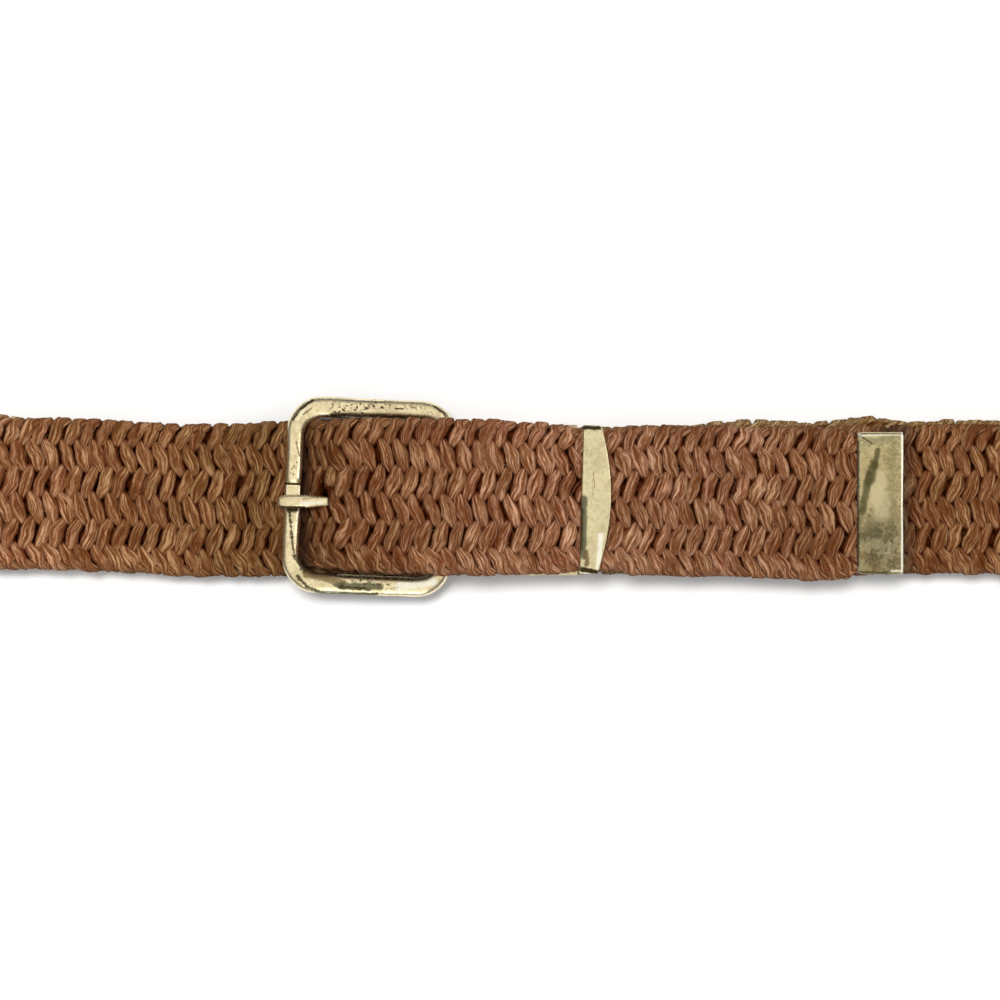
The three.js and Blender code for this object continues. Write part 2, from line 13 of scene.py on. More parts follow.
import bpy
import numpy as np
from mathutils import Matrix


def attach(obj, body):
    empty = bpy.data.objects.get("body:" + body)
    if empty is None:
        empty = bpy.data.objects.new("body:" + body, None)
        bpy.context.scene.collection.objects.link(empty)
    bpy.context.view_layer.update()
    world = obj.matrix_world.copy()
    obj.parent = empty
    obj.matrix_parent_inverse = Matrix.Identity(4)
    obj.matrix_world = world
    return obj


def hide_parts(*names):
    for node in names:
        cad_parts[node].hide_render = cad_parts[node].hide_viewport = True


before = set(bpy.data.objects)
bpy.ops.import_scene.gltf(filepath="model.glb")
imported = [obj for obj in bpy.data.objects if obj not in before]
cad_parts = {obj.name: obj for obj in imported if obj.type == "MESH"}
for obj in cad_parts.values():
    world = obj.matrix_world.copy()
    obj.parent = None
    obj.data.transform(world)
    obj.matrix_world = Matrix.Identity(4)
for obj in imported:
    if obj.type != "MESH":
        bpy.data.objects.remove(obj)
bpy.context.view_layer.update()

LOG = logging.getLogger("rope_belt")
MM = 0.001
LINE_DRIFT = 0.8
FULL_TURN = 2.0 * math.pi

Array = np.ndarray
Rows = Sequence[tuple[float, float]]
Colour = tuple[float, float, float]


class Slot(Enum):
    """The material slots of the record."""

    BRAID = "braid"
    BRASS = "brass"


class Stain(Enum):
    """The kinds of mark on the brass, by their colour in linear light. The brightest is for painted
    highlights and bright rubbed edges.
    """

    TARNISH = (0.060, 0.042, 0.016)
    BROWN = (0.230, 0.135, 0.050)
    GREEN = (0.120, 0.125, 0.065)
    OLIVE = (0.138, 0.118, 0.044)
    DIRT = (0.280, 0.225, 0.110)
    PALE = (0.640, 0.540, 0.320)
    # Painted highlight colour, also used for bright rubbed edges.
    BRIGHT_WEAR_AND_HIGHLIGHT = (0.980, 0.930, 0.740)


class Wild(IntEnum):
    """What each random shift of a strand's float moves, by its column."""

    ALONG = 0
    ACROSS = 1
    UP = 2
    WIDTH = 3
    DEPTH = 4
    EDGE = 5
    LEAN = 6
    BEND = 7


@dataclass(frozen=True)
class Sizes:
    """Sizes and places that several pieces of the belt share."""

    laid_length: float = 400.0
    strap_width: float = 38.0
    strap_thickness: float = 4.6
    fold_radius: float = 8.0
    layer_gap: float = 0.4
    ease_length: float = 6.0
    step_down_length: float = 26.0
    clearance: float = 0.3
    pin_clearance: float = 0.35
    buckle_length: float = 43.8
    buckle_side_gap: float = 1.2
    buckle_x: float = -34.3
    front_bar_width: float = 4.4
    side_bar_width: float = 5.4
    bar_thickness: float = 2.8
    heel_bar_diameter: float = 3.2
    climb_length: float = 10.5
    climb_delay: float = 1.6
    clamp_sheet: float = 0.9
    sleeve_length: float = 16.2
    neck_length: float = 17.9
    keeper_sheet: float = 0.9
    keeper_side_length: float = 4.7
    keeper_bow: float = 3.0
    keeper_drift: float = 0.1
    keeper_turn: float = math.radians(-1.5)
    tip_x: float = 104.1
    tip_length: float = 11.9
    tip_sheet: float = 0.8
    tip_drift: float = -0.8
    in_buckle: float = 0.99
    spread: float = 1.04
    in_sleeve: float = 0.965
    in_keeper: float = 0.945
    in_tip: float = 0.908
    pinched_in_tip: float = 0.78

    def gripped(self, share: float, sheet: float) -> float:
        """Return the width of a fitting of the given sheet round a share of the strap's width."""
        return share * self.strap_width + 2.0 * (self.clearance + sheet)

    @property
    def half_thickness(self) -> float:
        """Half of the strap's thickness."""
        return self.strap_thickness / 2.0

    @property
    def left_height(self) -> float:
        """Height of the middle plane of a layer that lies on the back layer."""
        return self.half_thickness + self.strap_thickness + self.layer_gap

    @property
    def fold_height(self) -> float:
        """Height of the middle plane on top of a fold."""
        return self.half_thickness + 2.0 * self.fold_radius

    @property
    def clamp_gap(self) -> float:
        """Room between the clamp's two plates."""
        return self.strap_thickness + 2.0 * self.clearance

    @property
    def clamp_height(self) -> float:
        """Height of the heel bar, and of the middle plane in the clamp."""
        return self.strap_thickness + self.clearance + self.clamp_sheet + self.clamp_gap / 2.0

    @property
    def over_clamp_height(self) -> float:
        """Height of the free layer's middle plane over the clamp."""
        outer = self.clamp_gap / 2.0 + self.clamp_sheet
        return self.clamp_height + outer + self.clearance + self.half_thickness

    @property
    def free_height(self) -> float:
        """Height of the free layer's middle plane on the fixed layer."""
        return self.left_height + self.strap_thickness + self.layer_gap

    @property
    def tip_outer_height(self) -> float:
        """Outer height of the tip."""
        pinched = self.pinched_in_tip * self.strap_thickness
        return pinched + 2.0 * (self.clearance + self.tip_sheet)

    @property
    def tip_height(self) -> float:
        """Height of the middle plane in the tip."""
        return self.left_height + self.half_thickness + self.clearance + self.tip_outer_height / 2.0

    @property
    def fold_x(self) -> float:
        """Distance from the middle of the belt to where a fold begins."""
        return self.laid_length / 2.0 - self.fold_radius - self.half_thickness

    @property
    def front_bar_x(self) -> float:
        """Middle of the buckle's front bar."""
        return self.buckle_x - self.buckle_length / 2.0 + self.front_bar_width / 2.0

    @property
    def heel_bar_x(self) -> float:
        """Middle of the buckle's heel bar."""
        return self.buckle_x + self.buckle_length / 2.0 - self.heel_bar_diameter / 2.0

    @property
    def sleeve_start_x(self) -> float:
        """Left end of the clamp's sleeve."""
        return self.heel_bar_x + self.neck_length

    @property
    def sleeve_end_x(self) -> float:
        """Right end of the clamp's sleeve."""
        return self.sleeve_start_x + self.sleeve_length

    @property
    def keeper_width(self) -> float:
        """Outer width of the keeper."""
        return self.gripped(self.in_keeper, self.keeper_sheet)

    @property
    def keeper_start_x(self) -> float:
        """Left edge of the keeper."""
        turned = self.keeper_width / 2.0 * math.sin(-self.keeper_turn)
        return self.sleeve_end_x + self.clearance + turned

    @property
    def keeper_end_x(self) -> float:
        """Right edge of the keeper at its middle."""
        return self.keeper_start_x + self.keeper_side_length + self.keeper_bow

    @property
    def tip_start_x(self) -> float:
        """Left edge of the tip."""
        return self.tip_x - self.tip_length

    @property
    def opening_length(self) -> float:
        """Length over which the layers part towards a fold."""
        return 0.54 * (self.fold_x - self.tip_x)

    @property
    def climb_start_x(self) -> float:
        """Where the strap starts to climb over the heel bar."""
        return self.front_bar_x + self.front_bar_width / 2.0 + self.climb_delay

    @property
    def climb_end_x(self) -> float:
        """Where the strap has reached the height of the heel bar's top."""
        return self.climb_start_x + self.climb_length

    @property
    def frame_reach(self) -> float:
        """Distance between the buckle's front and heel bars."""
        return self.heel_bar_x - self.front_bar_x

    @property
    def bar_slope(self) -> float:
        """How much the tipped front bar rises over its width."""
        level = self.left_height + self.half_thickness + self.clearance + self.bar_thickness / 2.0
        return self.front_bar_width * (level - self.clamp_height) / self.frame_reach

    @property
    def front_bar_height(self) -> float:
        """Height of the front bar's middle."""
        level = self.left_height + self.half_thickness + self.clearance + self.bar_thickness / 2.0
        return level + self.bar_slope


SIZES = Sizes()


def eased(rows: Rows, x: Array) -> Array:
    """Read a table of rows, eased from each row to the next.

    Args:
        rows: Pairs of a place and the value there, in order of place.
        x: The places to read.

    Returns:
        The value at each place.
    """
    if len(rows) == 1:
        return np.full_like(x, rows[0][1])
    places = np.array([row[0] for row in rows])
    values = np.array([row[1] for row in rows])
    i = np.clip(np.searchsorted(places, x, side="right") - 1, 0, len(rows) - 2)
    share = np.clip((x - places[i]) / (places[i + 1] - places[i]), 0.0, 1.0)
    return values[i] + (values[i + 1] - values[i]) * share * share * (3.0 - 2.0 * share)


def smoothstep(low: float, high: float, x: Array) -> Array:
    """Return 0 below low and 1 above high, with a smooth rise between them."""
    share = np.clip((x - low) / (high - low), 0.0, 1.0)
    return share * share * (3.0 - 2.0 * share)


def rounded(points: Array, steps: int, closed: bool, amount: float = 1.0) -> Array:
    """Subdivide a line of points with a smooth curve through them.

    Args:
        points: The points, one per row.
        steps: How many steps each span is cut into.
        closed: Whether the last point joins the first.
        amount: How far the new points move from the straight span to the curve.

    Returns:
        The denser line.
    """
    count = len(points)
    spans = count if closed else count - 1
    line = []
    for i in range(spans):
        if closed:
            a, b, c, d = (points[(i + k) % count] for k in (-1, 0, 1, 2))
        else:
            a, b, c, d = (points[min(max(i + k, 0), count - 1)] for k in (-1, 0, 1, 2))
        for k in range(steps):
            t = k / steps
            bent = 0.5 * (
                2.0 * b
                + (c - a) * t
                + (2.0 * a - 5.0 * b + 4.0 * c - d) * t**2
                + (3.0 * b - 3.0 * c + d - a) * t**3
            )
            straight = b + (c - b) * t
            line.append(straight + (bent - straight) * amount)
    if not closed:
        line.append(points[-1])
    return np.array(line)


def unit(vectors: Array) -> Array:
    """Return vectors at length one."""
    return vectors / np.maximum(np.linalg.norm(vectors, axis=-1, keepdims=True), 1e-12)


def fuller(values: Array, power: Array | float) -> Array:
    """Return sines or cosines raised to a power with their signs kept, for a section that isn't round."""
    return np.sign(values) * np.abs(values) ** power


def turned(x: Array, y: Array, angle: float) -> tuple[Array, Array]:
    """Turn points about the origin, from x towards y."""
    return x * math.cos(angle) - y * math.sin(angle), x * math.sin(angle) + y * math.cos(angle)


class Skin:
    """The mesh of one piece: grids of quads with their UV maps, in the strap's millimetres."""

    def __init__(self) -> None:
        """Start an empty skin."""
        self.points: list[Array] = []
        self.quads: list[Array] = []
        self.maps: dict[str, list[Array]] = {}
        self.count = 0

    def add_grid(
        self,
        grid: Array,
        maps: dict[str, Array],
        wrap_rows: bool = False,
        capped: bool = False,
    ) -> None:
        """Add a grid whose columns join up all round.

        Args:
            grid: Points as rows by columns by three.
            maps: UV values by map name, as rows (one more where the rows join up) by columns plus one by two.
            wrap_rows: Whether the last row joins the first.
            capped: Whether the first and last rows are closed, point k against point -1-k.
        """
        rows, cols = grid.shape[:2]
        index = np.arange(rows * cols).reshape(rows, cols) + self.count
        if wrap_rows:
            index = np.vstack([index, index[:1]])
        ring = np.hstack([index, index[:, :1]])
        corners = [ring[:-1, :-1], ring[:-1, 1:], ring[1:, 1:], ring[1:, :-1]]
        self.quads.append(np.stack(corners, axis=-1).reshape(-1, 4))
        for name, values in maps.items():
            spots = [values[:-1, :-1], values[:-1, 1:], values[1:, 1:], values[1:, :-1]]
            self.maps.setdefault(name, []).append(np.stack(spots, axis=2).reshape(-1, 2))
        if capped:
            self._cap(index[0], maps, 0, True)
            self._cap(index[-1], maps, -1, False)
        self.points.append(grid.reshape(-1, 3))
        self.count += rows * cols

    def _cap(self, ring: Array, maps: dict[str, Array], row: int, first: bool) -> None:
        """Close one end ring with a strip of quads.

        Args:
            ring: The point numbers of the ring.
            maps: UV values by map name, as in add_grid.
            row: The row of the UV values that belongs to the ring.
            first: Whether it is the first ring, whose faces point the other way.
        """
        n = len(ring)
        k = np.arange(n // 2 - 1)
        order = np.stack([k, n - 1 - k, n - 2 - k, k + 1] if first else [k, k + 1, n - 2 - k, n - 1 - k])
        self.quads.append(ring[order].T)
        for name, values in maps.items():
            self.maps[name].append(values[row][order].transpose(1, 0, 2).reshape(-1, 2))

    def piece(self, name: str) -> bpy.types.Object:
        """Make the Blender object.

        Args:
            name: The object's name.

        Returns:
            The object, smooth shaded, with its faces pointing out.
        """
        points = np.concatenate(self.points)
        quads = np.concatenate(self.quads)
        a, b, c, d = (points[quads[:, k]] for k in range(4))
        volume = np.einsum("ij,ij->", a, np.cross(b, c)) + np.einsum("ij,ij->", a, np.cross(c, d))
        order = np.array([0, 1, 2, 3] if volume > 0 else [3, 2, 1, 0])
        world = (points - np.array([0.0, LINE_DRIFT, 0.0])) * MM
        mesh = bpy.data.meshes.new(name)
        mesh.vertices.add(len(world))
        mesh.vertices.foreach_set("co", world.astype(np.float32).ravel())
        mesh.loops.add(quads.size)
        mesh.loops.foreach_set("vertex_index", quads[:, order].astype(np.int32).ravel())
        mesh.polygons.add(len(quads))
        mesh.polygons.foreach_set("loop_start", np.arange(0, quads.size, 4, dtype=np.int32))
        for map_name, values in self.maps.items():
            layer = mesh.uv_layers.new(name=map_name)
            spots = np.concatenate(values).reshape(-1, 4, 2)[:, order]
            layer.data.foreach_set("uv", spots.astype(np.float32).ravel())
        mesh.update(calc_edges=True)
        mesh.validate()
        mesh.shade_smooth()
        made = bpy.data.objects.new(name, mesh)
        bpy.context.scene.collection.objects.link(made)
        return made


def enlist(made: bpy.types.Object, node: str, material: bpy.types.Material) -> None:
    """Give a piece its material and body, hide the CAD node that it stands for, and report it.

    Args:
        made: The piece.
        node: The CAD node that it stands for.
        material: Its finish.
    """
    made.data.materials.append(material)
    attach(made, "root")
    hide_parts(node)
    LOG.info("%s stands for %s, %d faces", made.name, node, len(made.data.polygons))


class Bench:
    """Adds nodes to one tree, and feeds their sockets."""

    def __init__(self, tree: bpy.types.NodeTree) -> None:
        """Work on the given tree."""
        self.tree = tree

    def feed(self, socket: bpy.types.NodeSocket, value: object) -> None:
        """Link a socket to a socket, or set it to a value."""
        if isinstance(value, bpy.types.NodeSocket):
            self.tree.links.new(value, socket)
        elif socket.type == "RGBA" and len(value) == 3:
            socket.default_value = (*value, 1.0)
        else:
            socket.default_value = value

    def add(self, kind: str, settings: dict[str, object] | None = None, **inputs: object) -> bpy.types.Node:
        """Add a node.

        Args:
            kind: The node's type.
            settings: Values of the node's own properties.
            **inputs: Values or sockets for its inputs, with _ for a space in the input's name.

        Returns:
            The node.
        """
        node = self.tree.nodes.new(kind)
        for key, value in (settings or {}).items():
            setattr(node, key, value)
        for key, value in inputs.items():
            self.feed(node.inputs[key.replace("_", " ")], value)
        return node

    def math(self, operation: str, *values: object, clamp: bool = False) -> bpy.types.NodeSocket:
        """Add a Math node and return its result."""
        node = self.add("ShaderNodeMath", {"operation": operation, "use_clamp": clamp})
        for socket, value in zip(node.inputs, values):
            self.feed(socket, value)
        return node.outputs[0]

    def vector(self, operation: str, *values: object) -> bpy.types.Node:
        """Add a Vector Math node."""
        node = self.add("ShaderNodeVectorMath", {"operation": operation})
        for socket, value in zip(node.inputs, values):
            self.feed(socket, value)
        return node

    def mix(self, factor: object, a: object, b: object, blend: str = "MIX") -> bpy.types.NodeSocket:
        """Add a colour Mix node and return its result."""
        node = self.add("ShaderNodeMix", {"data_type": "RGBA", "blend_type": blend})
        sockets = {socket.identifier: socket for socket in node.inputs}
        self.feed(sockets["Factor_Float"], factor)
        self.feed(sockets["A_Color"], a)
        self.feed(sockets["B_Color"], b)
        return next(s for s in node.outputs if s.identifier == "Result_Color")

    def ramp(self, value: object, low: float, high: float, to: tuple[float, float] = (0.0, 1.0)):
        """Add a smooth Map Range node from low and high to the pair of values, and return its result."""
        node = self.add(
            "ShaderNodeMapRange",
            {"interpolation_type": "SMOOTHSTEP"},
            Value=value,
            From_Min=low,
            From_Max=high,
            To_Min=to[0],
            To_Max=to[1],
        )
        return node.outputs["Result"]

    def noise(self, vector: object, scale: object, detail: float = 2.0, rough: float = 0.5):
        """Add a Noise Texture and return its value."""
        values = {"Vector": vector, "Scale": scale, "Detail": detail, "Roughness": rough}
        return self.add("ShaderNodeTexNoise", None, **values).outputs[0]

    def split(self, vector: object) -> list[bpy.types.NodeSocket]:
        """Add a Separate XYZ node and return its three results."""
        return list(self.add("ShaderNodeSeparateXYZ", None, Vector=vector).outputs)

    def times(self, a: object, b: object) -> bpy.types.NodeSocket:
        """Return the product of two values."""
        return self.math("MULTIPLY", a, b)

    def plus(self, a: object, b: object) -> bpy.types.NodeSocket:
        """Return the sum of two values."""
        return self.math("ADD", a, b)

    def minus(self, a: object, b: object) -> bpy.types.NodeSocket:
        """Return the first value less the second."""
        return self.math("SUBTRACT", a, b)

    def larger(self, a: object, b: object) -> bpy.types.NodeSocket:
        """Return the larger of two values."""
        return self.math("MAXIMUM", a, b)

    def both(self, a: object, b: object) -> bpy.types.NodeSocket:
        """Return the product of two masks."""
        return self.math("MULTIPLY", a, b, clamp=True)

    def blend(self, a: object, b: object, share: float) -> bpy.types.NodeSocket:
        """Return the mean of two values, b weighing the given share."""
        return self.plus(self.times(a, 1.0 - share), self.times(b, share))

    def window(self, value: object, places: tuple[float, float, float, float]) -> bpy.types.NodeSocket:
        """Return a mask that rises between the first two places and falls between the last two."""
        a, b, c, d = places
        return self.both(self.ramp(value, a, b), self.ramp(value, d, c))

    def swing(self, noise: object, amount: object) -> bpy.types.NodeSocket:
        """Return a noise value as a shift about nought."""
        return self.times(self.minus(noise, 0.5), amount)

    def tinted(self, colour: object, tint: object, amount: object = 1.0) -> bpy.types.NodeSocket:
        """Return a colour multiplied by a tint, where the amount says."""
        return self.mix(amount, colour, tint, "MULTIPLY")

    def stretched(self, vector: object, scale: object) -> bpy.types.NodeSocket:
        """Return a vector scaled by its own amount on each axis."""
        return self.vector("MULTIPLY", vector, scale).outputs[0]

    def uv(self, name: str) -> bpy.types.NodeSocket:
        """Add a UV Map node and return its place."""
        return self.add("ShaderNodeUVMap", {"uv_map": name}).outputs[0]

    def millimetres(self) -> bpy.types.NodeSocket:
        """Return the place on the belt in millimetres."""
        place = self.vector("SCALE", self.add("ShaderNodeTexCoord").outputs["Object"])
        place.inputs["Scale"].default_value = 1.0 / MM
        return place.outputs[0]

    def relief(self, height: object, strength: float, depth: float) -> bpy.types.NodeSocket:
        """Add a Bump node of the given depth in metres and return its normal."""
        return self.add("ShaderNodeBump", None, Height=height, Strength=strength, Distance=depth).outputs[0]


class Group:
    """A shader node group with named inputs and outputs, built once."""

    def __init__(self, name: str, inputs: dict[str, tuple[str, object]], outputs: dict[str, str]) -> None:
        """Make the group's tree and its sockets.

        Args:
            name: The group's name.
            inputs: Socket type and starting value by name.
            outputs: Socket type by name.
        """
        self.tree = bpy.data.node_groups.new(name, "ShaderNodeTree")
        for key, (kind, value) in inputs.items():
            socket = self.tree.interface.new_socket(name=key, in_out="INPUT", socket_type="NodeSocket" + kind)
            if kind == "Color":
                socket.default_value = (*value, 1.0)
            else:
                socket.default_value = value
        for key, kind in outputs.items():
            self.tree.interface.new_socket(name=key, in_out="OUTPUT", socket_type="NodeSocket" + kind)
        self.bench = Bench(self.tree)
        self.start = self.tree.nodes.new("NodeGroupInput").outputs
        self.end = self.tree.nodes.new("NodeGroupOutput").inputs

    def place(self, bench: Bench, **inputs: object) -> bpy.types.Node:
        """Put the group into a material with its own values."""
        return bench.add("ShaderNodeGroup", {"node_tree": self.tree}, **inputs)


def jute_fibre_group() -> Group:
    """Build the group for a strand of jute: its plies, the fine streaks along them, and painted shade on its
    sides where it lies deep and where it is pressed beside the prong.

    Returns:
        The group, which puts out a colour, a roughness and a height.
    """
    inputs = {
        "Fibre": ("Vector", (0.0, 0.0, 0.0)),
        "Lay": ("Vector", (0.0, 0.5, 0.0)),
        "Tint": ("Vector", (0.5, 0.5, 0.0)),
        "Pale": ("Color", (0.3, 0.2, 0.1)),
        "Mid": ("Color", (0.2, 0.1, 0.05)),
        "Deep": ("Color", (0.1, 0.04, 0.02)),
        "Crevice": ("Color", (0.03, 0.01, 0.001)),
    }
    group = Group("jute_fibre", inputs, {"Color": "Color", "Roughness": "Float", "Height": "Float"})
    bench = group.bench
    start = group.start
    ply_place = bench.split(start["Fibre"])[0]
    deep_at, hollow, _ = bench.split(start["Lay"])
    tone_of, hue_of, _ = bench.split(start["Tint"])
    streak = bench.noise(bench.stretched(start["Fibre"], (3.6, 1.1, 1.0)), 1.0, 3.0, 0.65)
    coarse = bench.noise(bench.stretched(start["Fibre"], (1.5, 1.2, 1.0)), 1.0, 2.0)
    fine = bench.noise(bench.stretched(start["Fibre"], (13.0, 5.0, 1.0)), 1.0, 2.0, 0.6)
    threads = bench.blend(streak, fine, 0.35)
    pale = bench.ramp(threads, 0.50, 0.58)
    dark = bench.ramp(threads, 0.495, 0.42)
    tone = bench.ramp(bench.blend(coarse, tone_of, 0.5), 0.34, 0.66, (0.45, 1.0))
    colour = bench.mix(tone, start["Deep"], start["Mid"])
    colour = bench.mix(bench.both(pale, tone), colour, start["Pale"])
    colour = bench.mix(bench.times(dark, 0.85), colour, start["Deep"])
    ply = bench.math("ABSOLUTE", bench.minus(bench.math("FRACT", ply_place), 0.5))
    groove = bench.both(bench.ramp(ply, 0.12, 0.01), bench.ramp(coarse, 0.40, 0.60))
    colour = bench.mix(bench.times(groove, 0.5), colour, start["Crevice"])
    hue = bench.mix(hue_of, (1.04, 0.97, 0.92), (0.97, 1.03, 0.90))
    colour = bench.tinted(colour, hue)
    # Painted shade: the crevice colour where the strand lies deep between others and where it is pressed
    # beside the prong.
    side = bench.larger(bench.ramp(deep_at, 0.07, 0.34), bench.ramp(hollow, 0.35, 1.0))
    colour = bench.mix(bench.times(side, 0.97), colour, start["Crevice"])
    bench.feed(group.end["Color"], colour)
    bench.feed(group.end["Roughness"], bench.ramp(threads, 0.3, 0.7, (0.90, 0.72)))
    raised = bench.minus(bench.plus(threads, coarse), bench.times(groove, 0.9))
    bench.feed(group.end["Height"], raised)
    return group


def stain_stroke_group() -> Group:
    """Build the group for one mark: a mask that falls off from a line between two places, plain or pitted.

    Returns:
        The group, which puts out the mask.
    """
    inputs = {
        "Place": ("Vector", (0.0, 0.0, 0.0)),
        "Start": ("Vector", (0.0, 0.0, 0.0)),
        "End": ("Vector", (1.0, 0.0, 0.0)),
        "Width": ("Float", 1.0),
        "Wobble": ("Float", 0.3),
        "Grain": ("Float", 1.0),
        "Pitted": ("Float", 0.0),
    }
    group = Group("stain_stroke", inputs, {"Mask": "Float"})
    bench = group.bench
    start = group.start
    flat = bench.stretched(start["Place"], (1.0, 1.0, 0.0))
    reach = bench.vector("SUBTRACT", flat, start["Start"]).outputs[0]
    span = bench.vector("SUBTRACT", start["End"], start["Start"]).outputs[0]
    along = bench.vector("DOT_PRODUCT", reach, span).outputs["Value"]
    length = bench.vector("DOT_PRODUCT", span, span).outputs["Value"]
    share = bench.math("DIVIDE", along, length, clamp=True)
    scaled = bench.add("ShaderNodeVectorMath", {"operation": "SCALE"}, Vector=span, Scale=share)
    away = bench.vector("SUBTRACT", reach, scaled.outputs[0]).outputs[0]
    distance = bench.vector("LENGTH", away).outputs["Value"]
    rough = bench.noise(start["Place"], start["Grain"], 3.0)
    moved = bench.plus(distance, bench.swing(rough, start["Wobble"]))
    ratio = bench.math("DIVIDE", moved, start["Width"])
    pits = bench.ramp(bench.noise(start["Place"], 1.35, 2.0), 0.54, 0.62)
    pattern = bench.larger(bench.minus(1.0, start["Pitted"]), pits)
    bench.feed(group.end["Mask"], bench.both(bench.ramp(ratio, 1.0, 0.4), pattern))
    return group


def brass_patina_group() -> Group:
    """Build the group for handled brass: cloudy tarnish, brown specks, fine scratches, and edges brightened
    by rubbed wear and by a painted highlight.

    Returns:
        The group, which puts out a colour, a roughness and a height.
    """
    inputs = {
        "Place": ("Vector", (0.0, 0.0, 0.0)),
        "Wear": ("Vector", (0.0, 0.0, 0.0)),
        "Clean": ("Color", (0.8, 0.66, 0.4)),
        "Dull": ("Color", (0.5, 0.4, 0.2)),
        "Tarnish": ("Color", (0.15, 0.11, 0.04)),
        "Clouds": ("Float", 0.4),
        "Specks": ("Float", 0.5),
        "Gloss": ("Float", 0.24),
        "Brush": ("Vector", (0.35, 5.0, 1.0)),
    }
    outputs = {"Color": "Color", "Roughness": "Float", "Height": "Float"}
    group = Group("brass_patina", inputs, outputs)
    bench = group.bench
    start = group.start
    worn_and_lit_edge, recess_of, _ = bench.split(start["Wear"])
    cloud = bench.noise(start["Place"], 0.22, 5.0, 0.62)
    mottle = bench.noise(start["Place"], 0.9, 4.0, 0.6)
    clouded = bench.blend(cloud, mottle, 0.42)
    shade = bench.both(bench.ramp(clouded, 0.42, 0.62), start["Clouds"])
    colour = bench.mix(shade, start["Clean"], start["Dull"])
    speck = bench.noise(start["Place"], 2.6, 3.0, 0.7)
    spots = bench.ramp(speck, 0.63, 0.71)
    speckled = bench.both(spots, start["Specks"])
    colour = bench.mix(speckled, colour, start["Tarnish"])
    scratch = bench.noise(bench.stretched(start["Place"], start["Brush"]), 1.0, 4.0, 0.7)
    scratched = bench.times(bench.ramp(scratch, 0.56, 0.70), 0.38)
    colour = bench.mix(scratched, colour, start["Tarnish"])
    sunk = bench.ramp(bench.plus(recess_of, bench.swing(mottle, 0.9)), 0.35, 0.9)
    recess = bench.times(sunk, 0.9)
    colour = bench.mix(recess, colour, start["Tarnish"])
    # Bright edges: rubbed wear, with a painted highlight on the same edges.
    edge = bench.ramp(bench.plus(worn_and_lit_edge, bench.swing(speck, 0.9)), 0.45, 0.95)
    colour = bench.mix(bench.times(edge, 0.65), colour, Stain.BRIGHT_WEAR_AND_HIGHLIGHT.value)
    worst = bench.larger(speckled, recess)
    dulled = bench.larger(bench.times(shade, 0.5), worst)
    rough = bench.plus(start["Gloss"], bench.times(dulled, 0.3))
    bench.feed(group.end["Color"], colour)
    bench.feed(group.end["Roughness"], rough)
    height = bench.minus(bench.times(clouded, 0.6), bench.times(spots, 0.5))
    height = bench.plus(height, bench.times(scratch, 0.25))
    bench.feed(group.end["Height"], height)
    return group


@dataclass(frozen=True)
class Groups:
    """The shader node groups that the finishes share."""

    jute: Group = field(default_factory=jute_fibre_group)
    stroke: Group = field(default_factory=stain_stroke_group)
    patina: Group = field(default_factory=brass_patina_group)


def blank_material(name: str) -> tuple[bpy.types.Material, Bench, bpy.types.Node]:
    """Start a material.

    Args:
        name: The material's name.

    Returns:
        The material, a bench on its tree, and its shader.
    """
    material = bpy.data.materials.new(name)
    material.use_nodes = True
    bench = Bench(material.node_tree)
    shader = material.node_tree.nodes["Principled BSDF"]
    return material, bench, shader


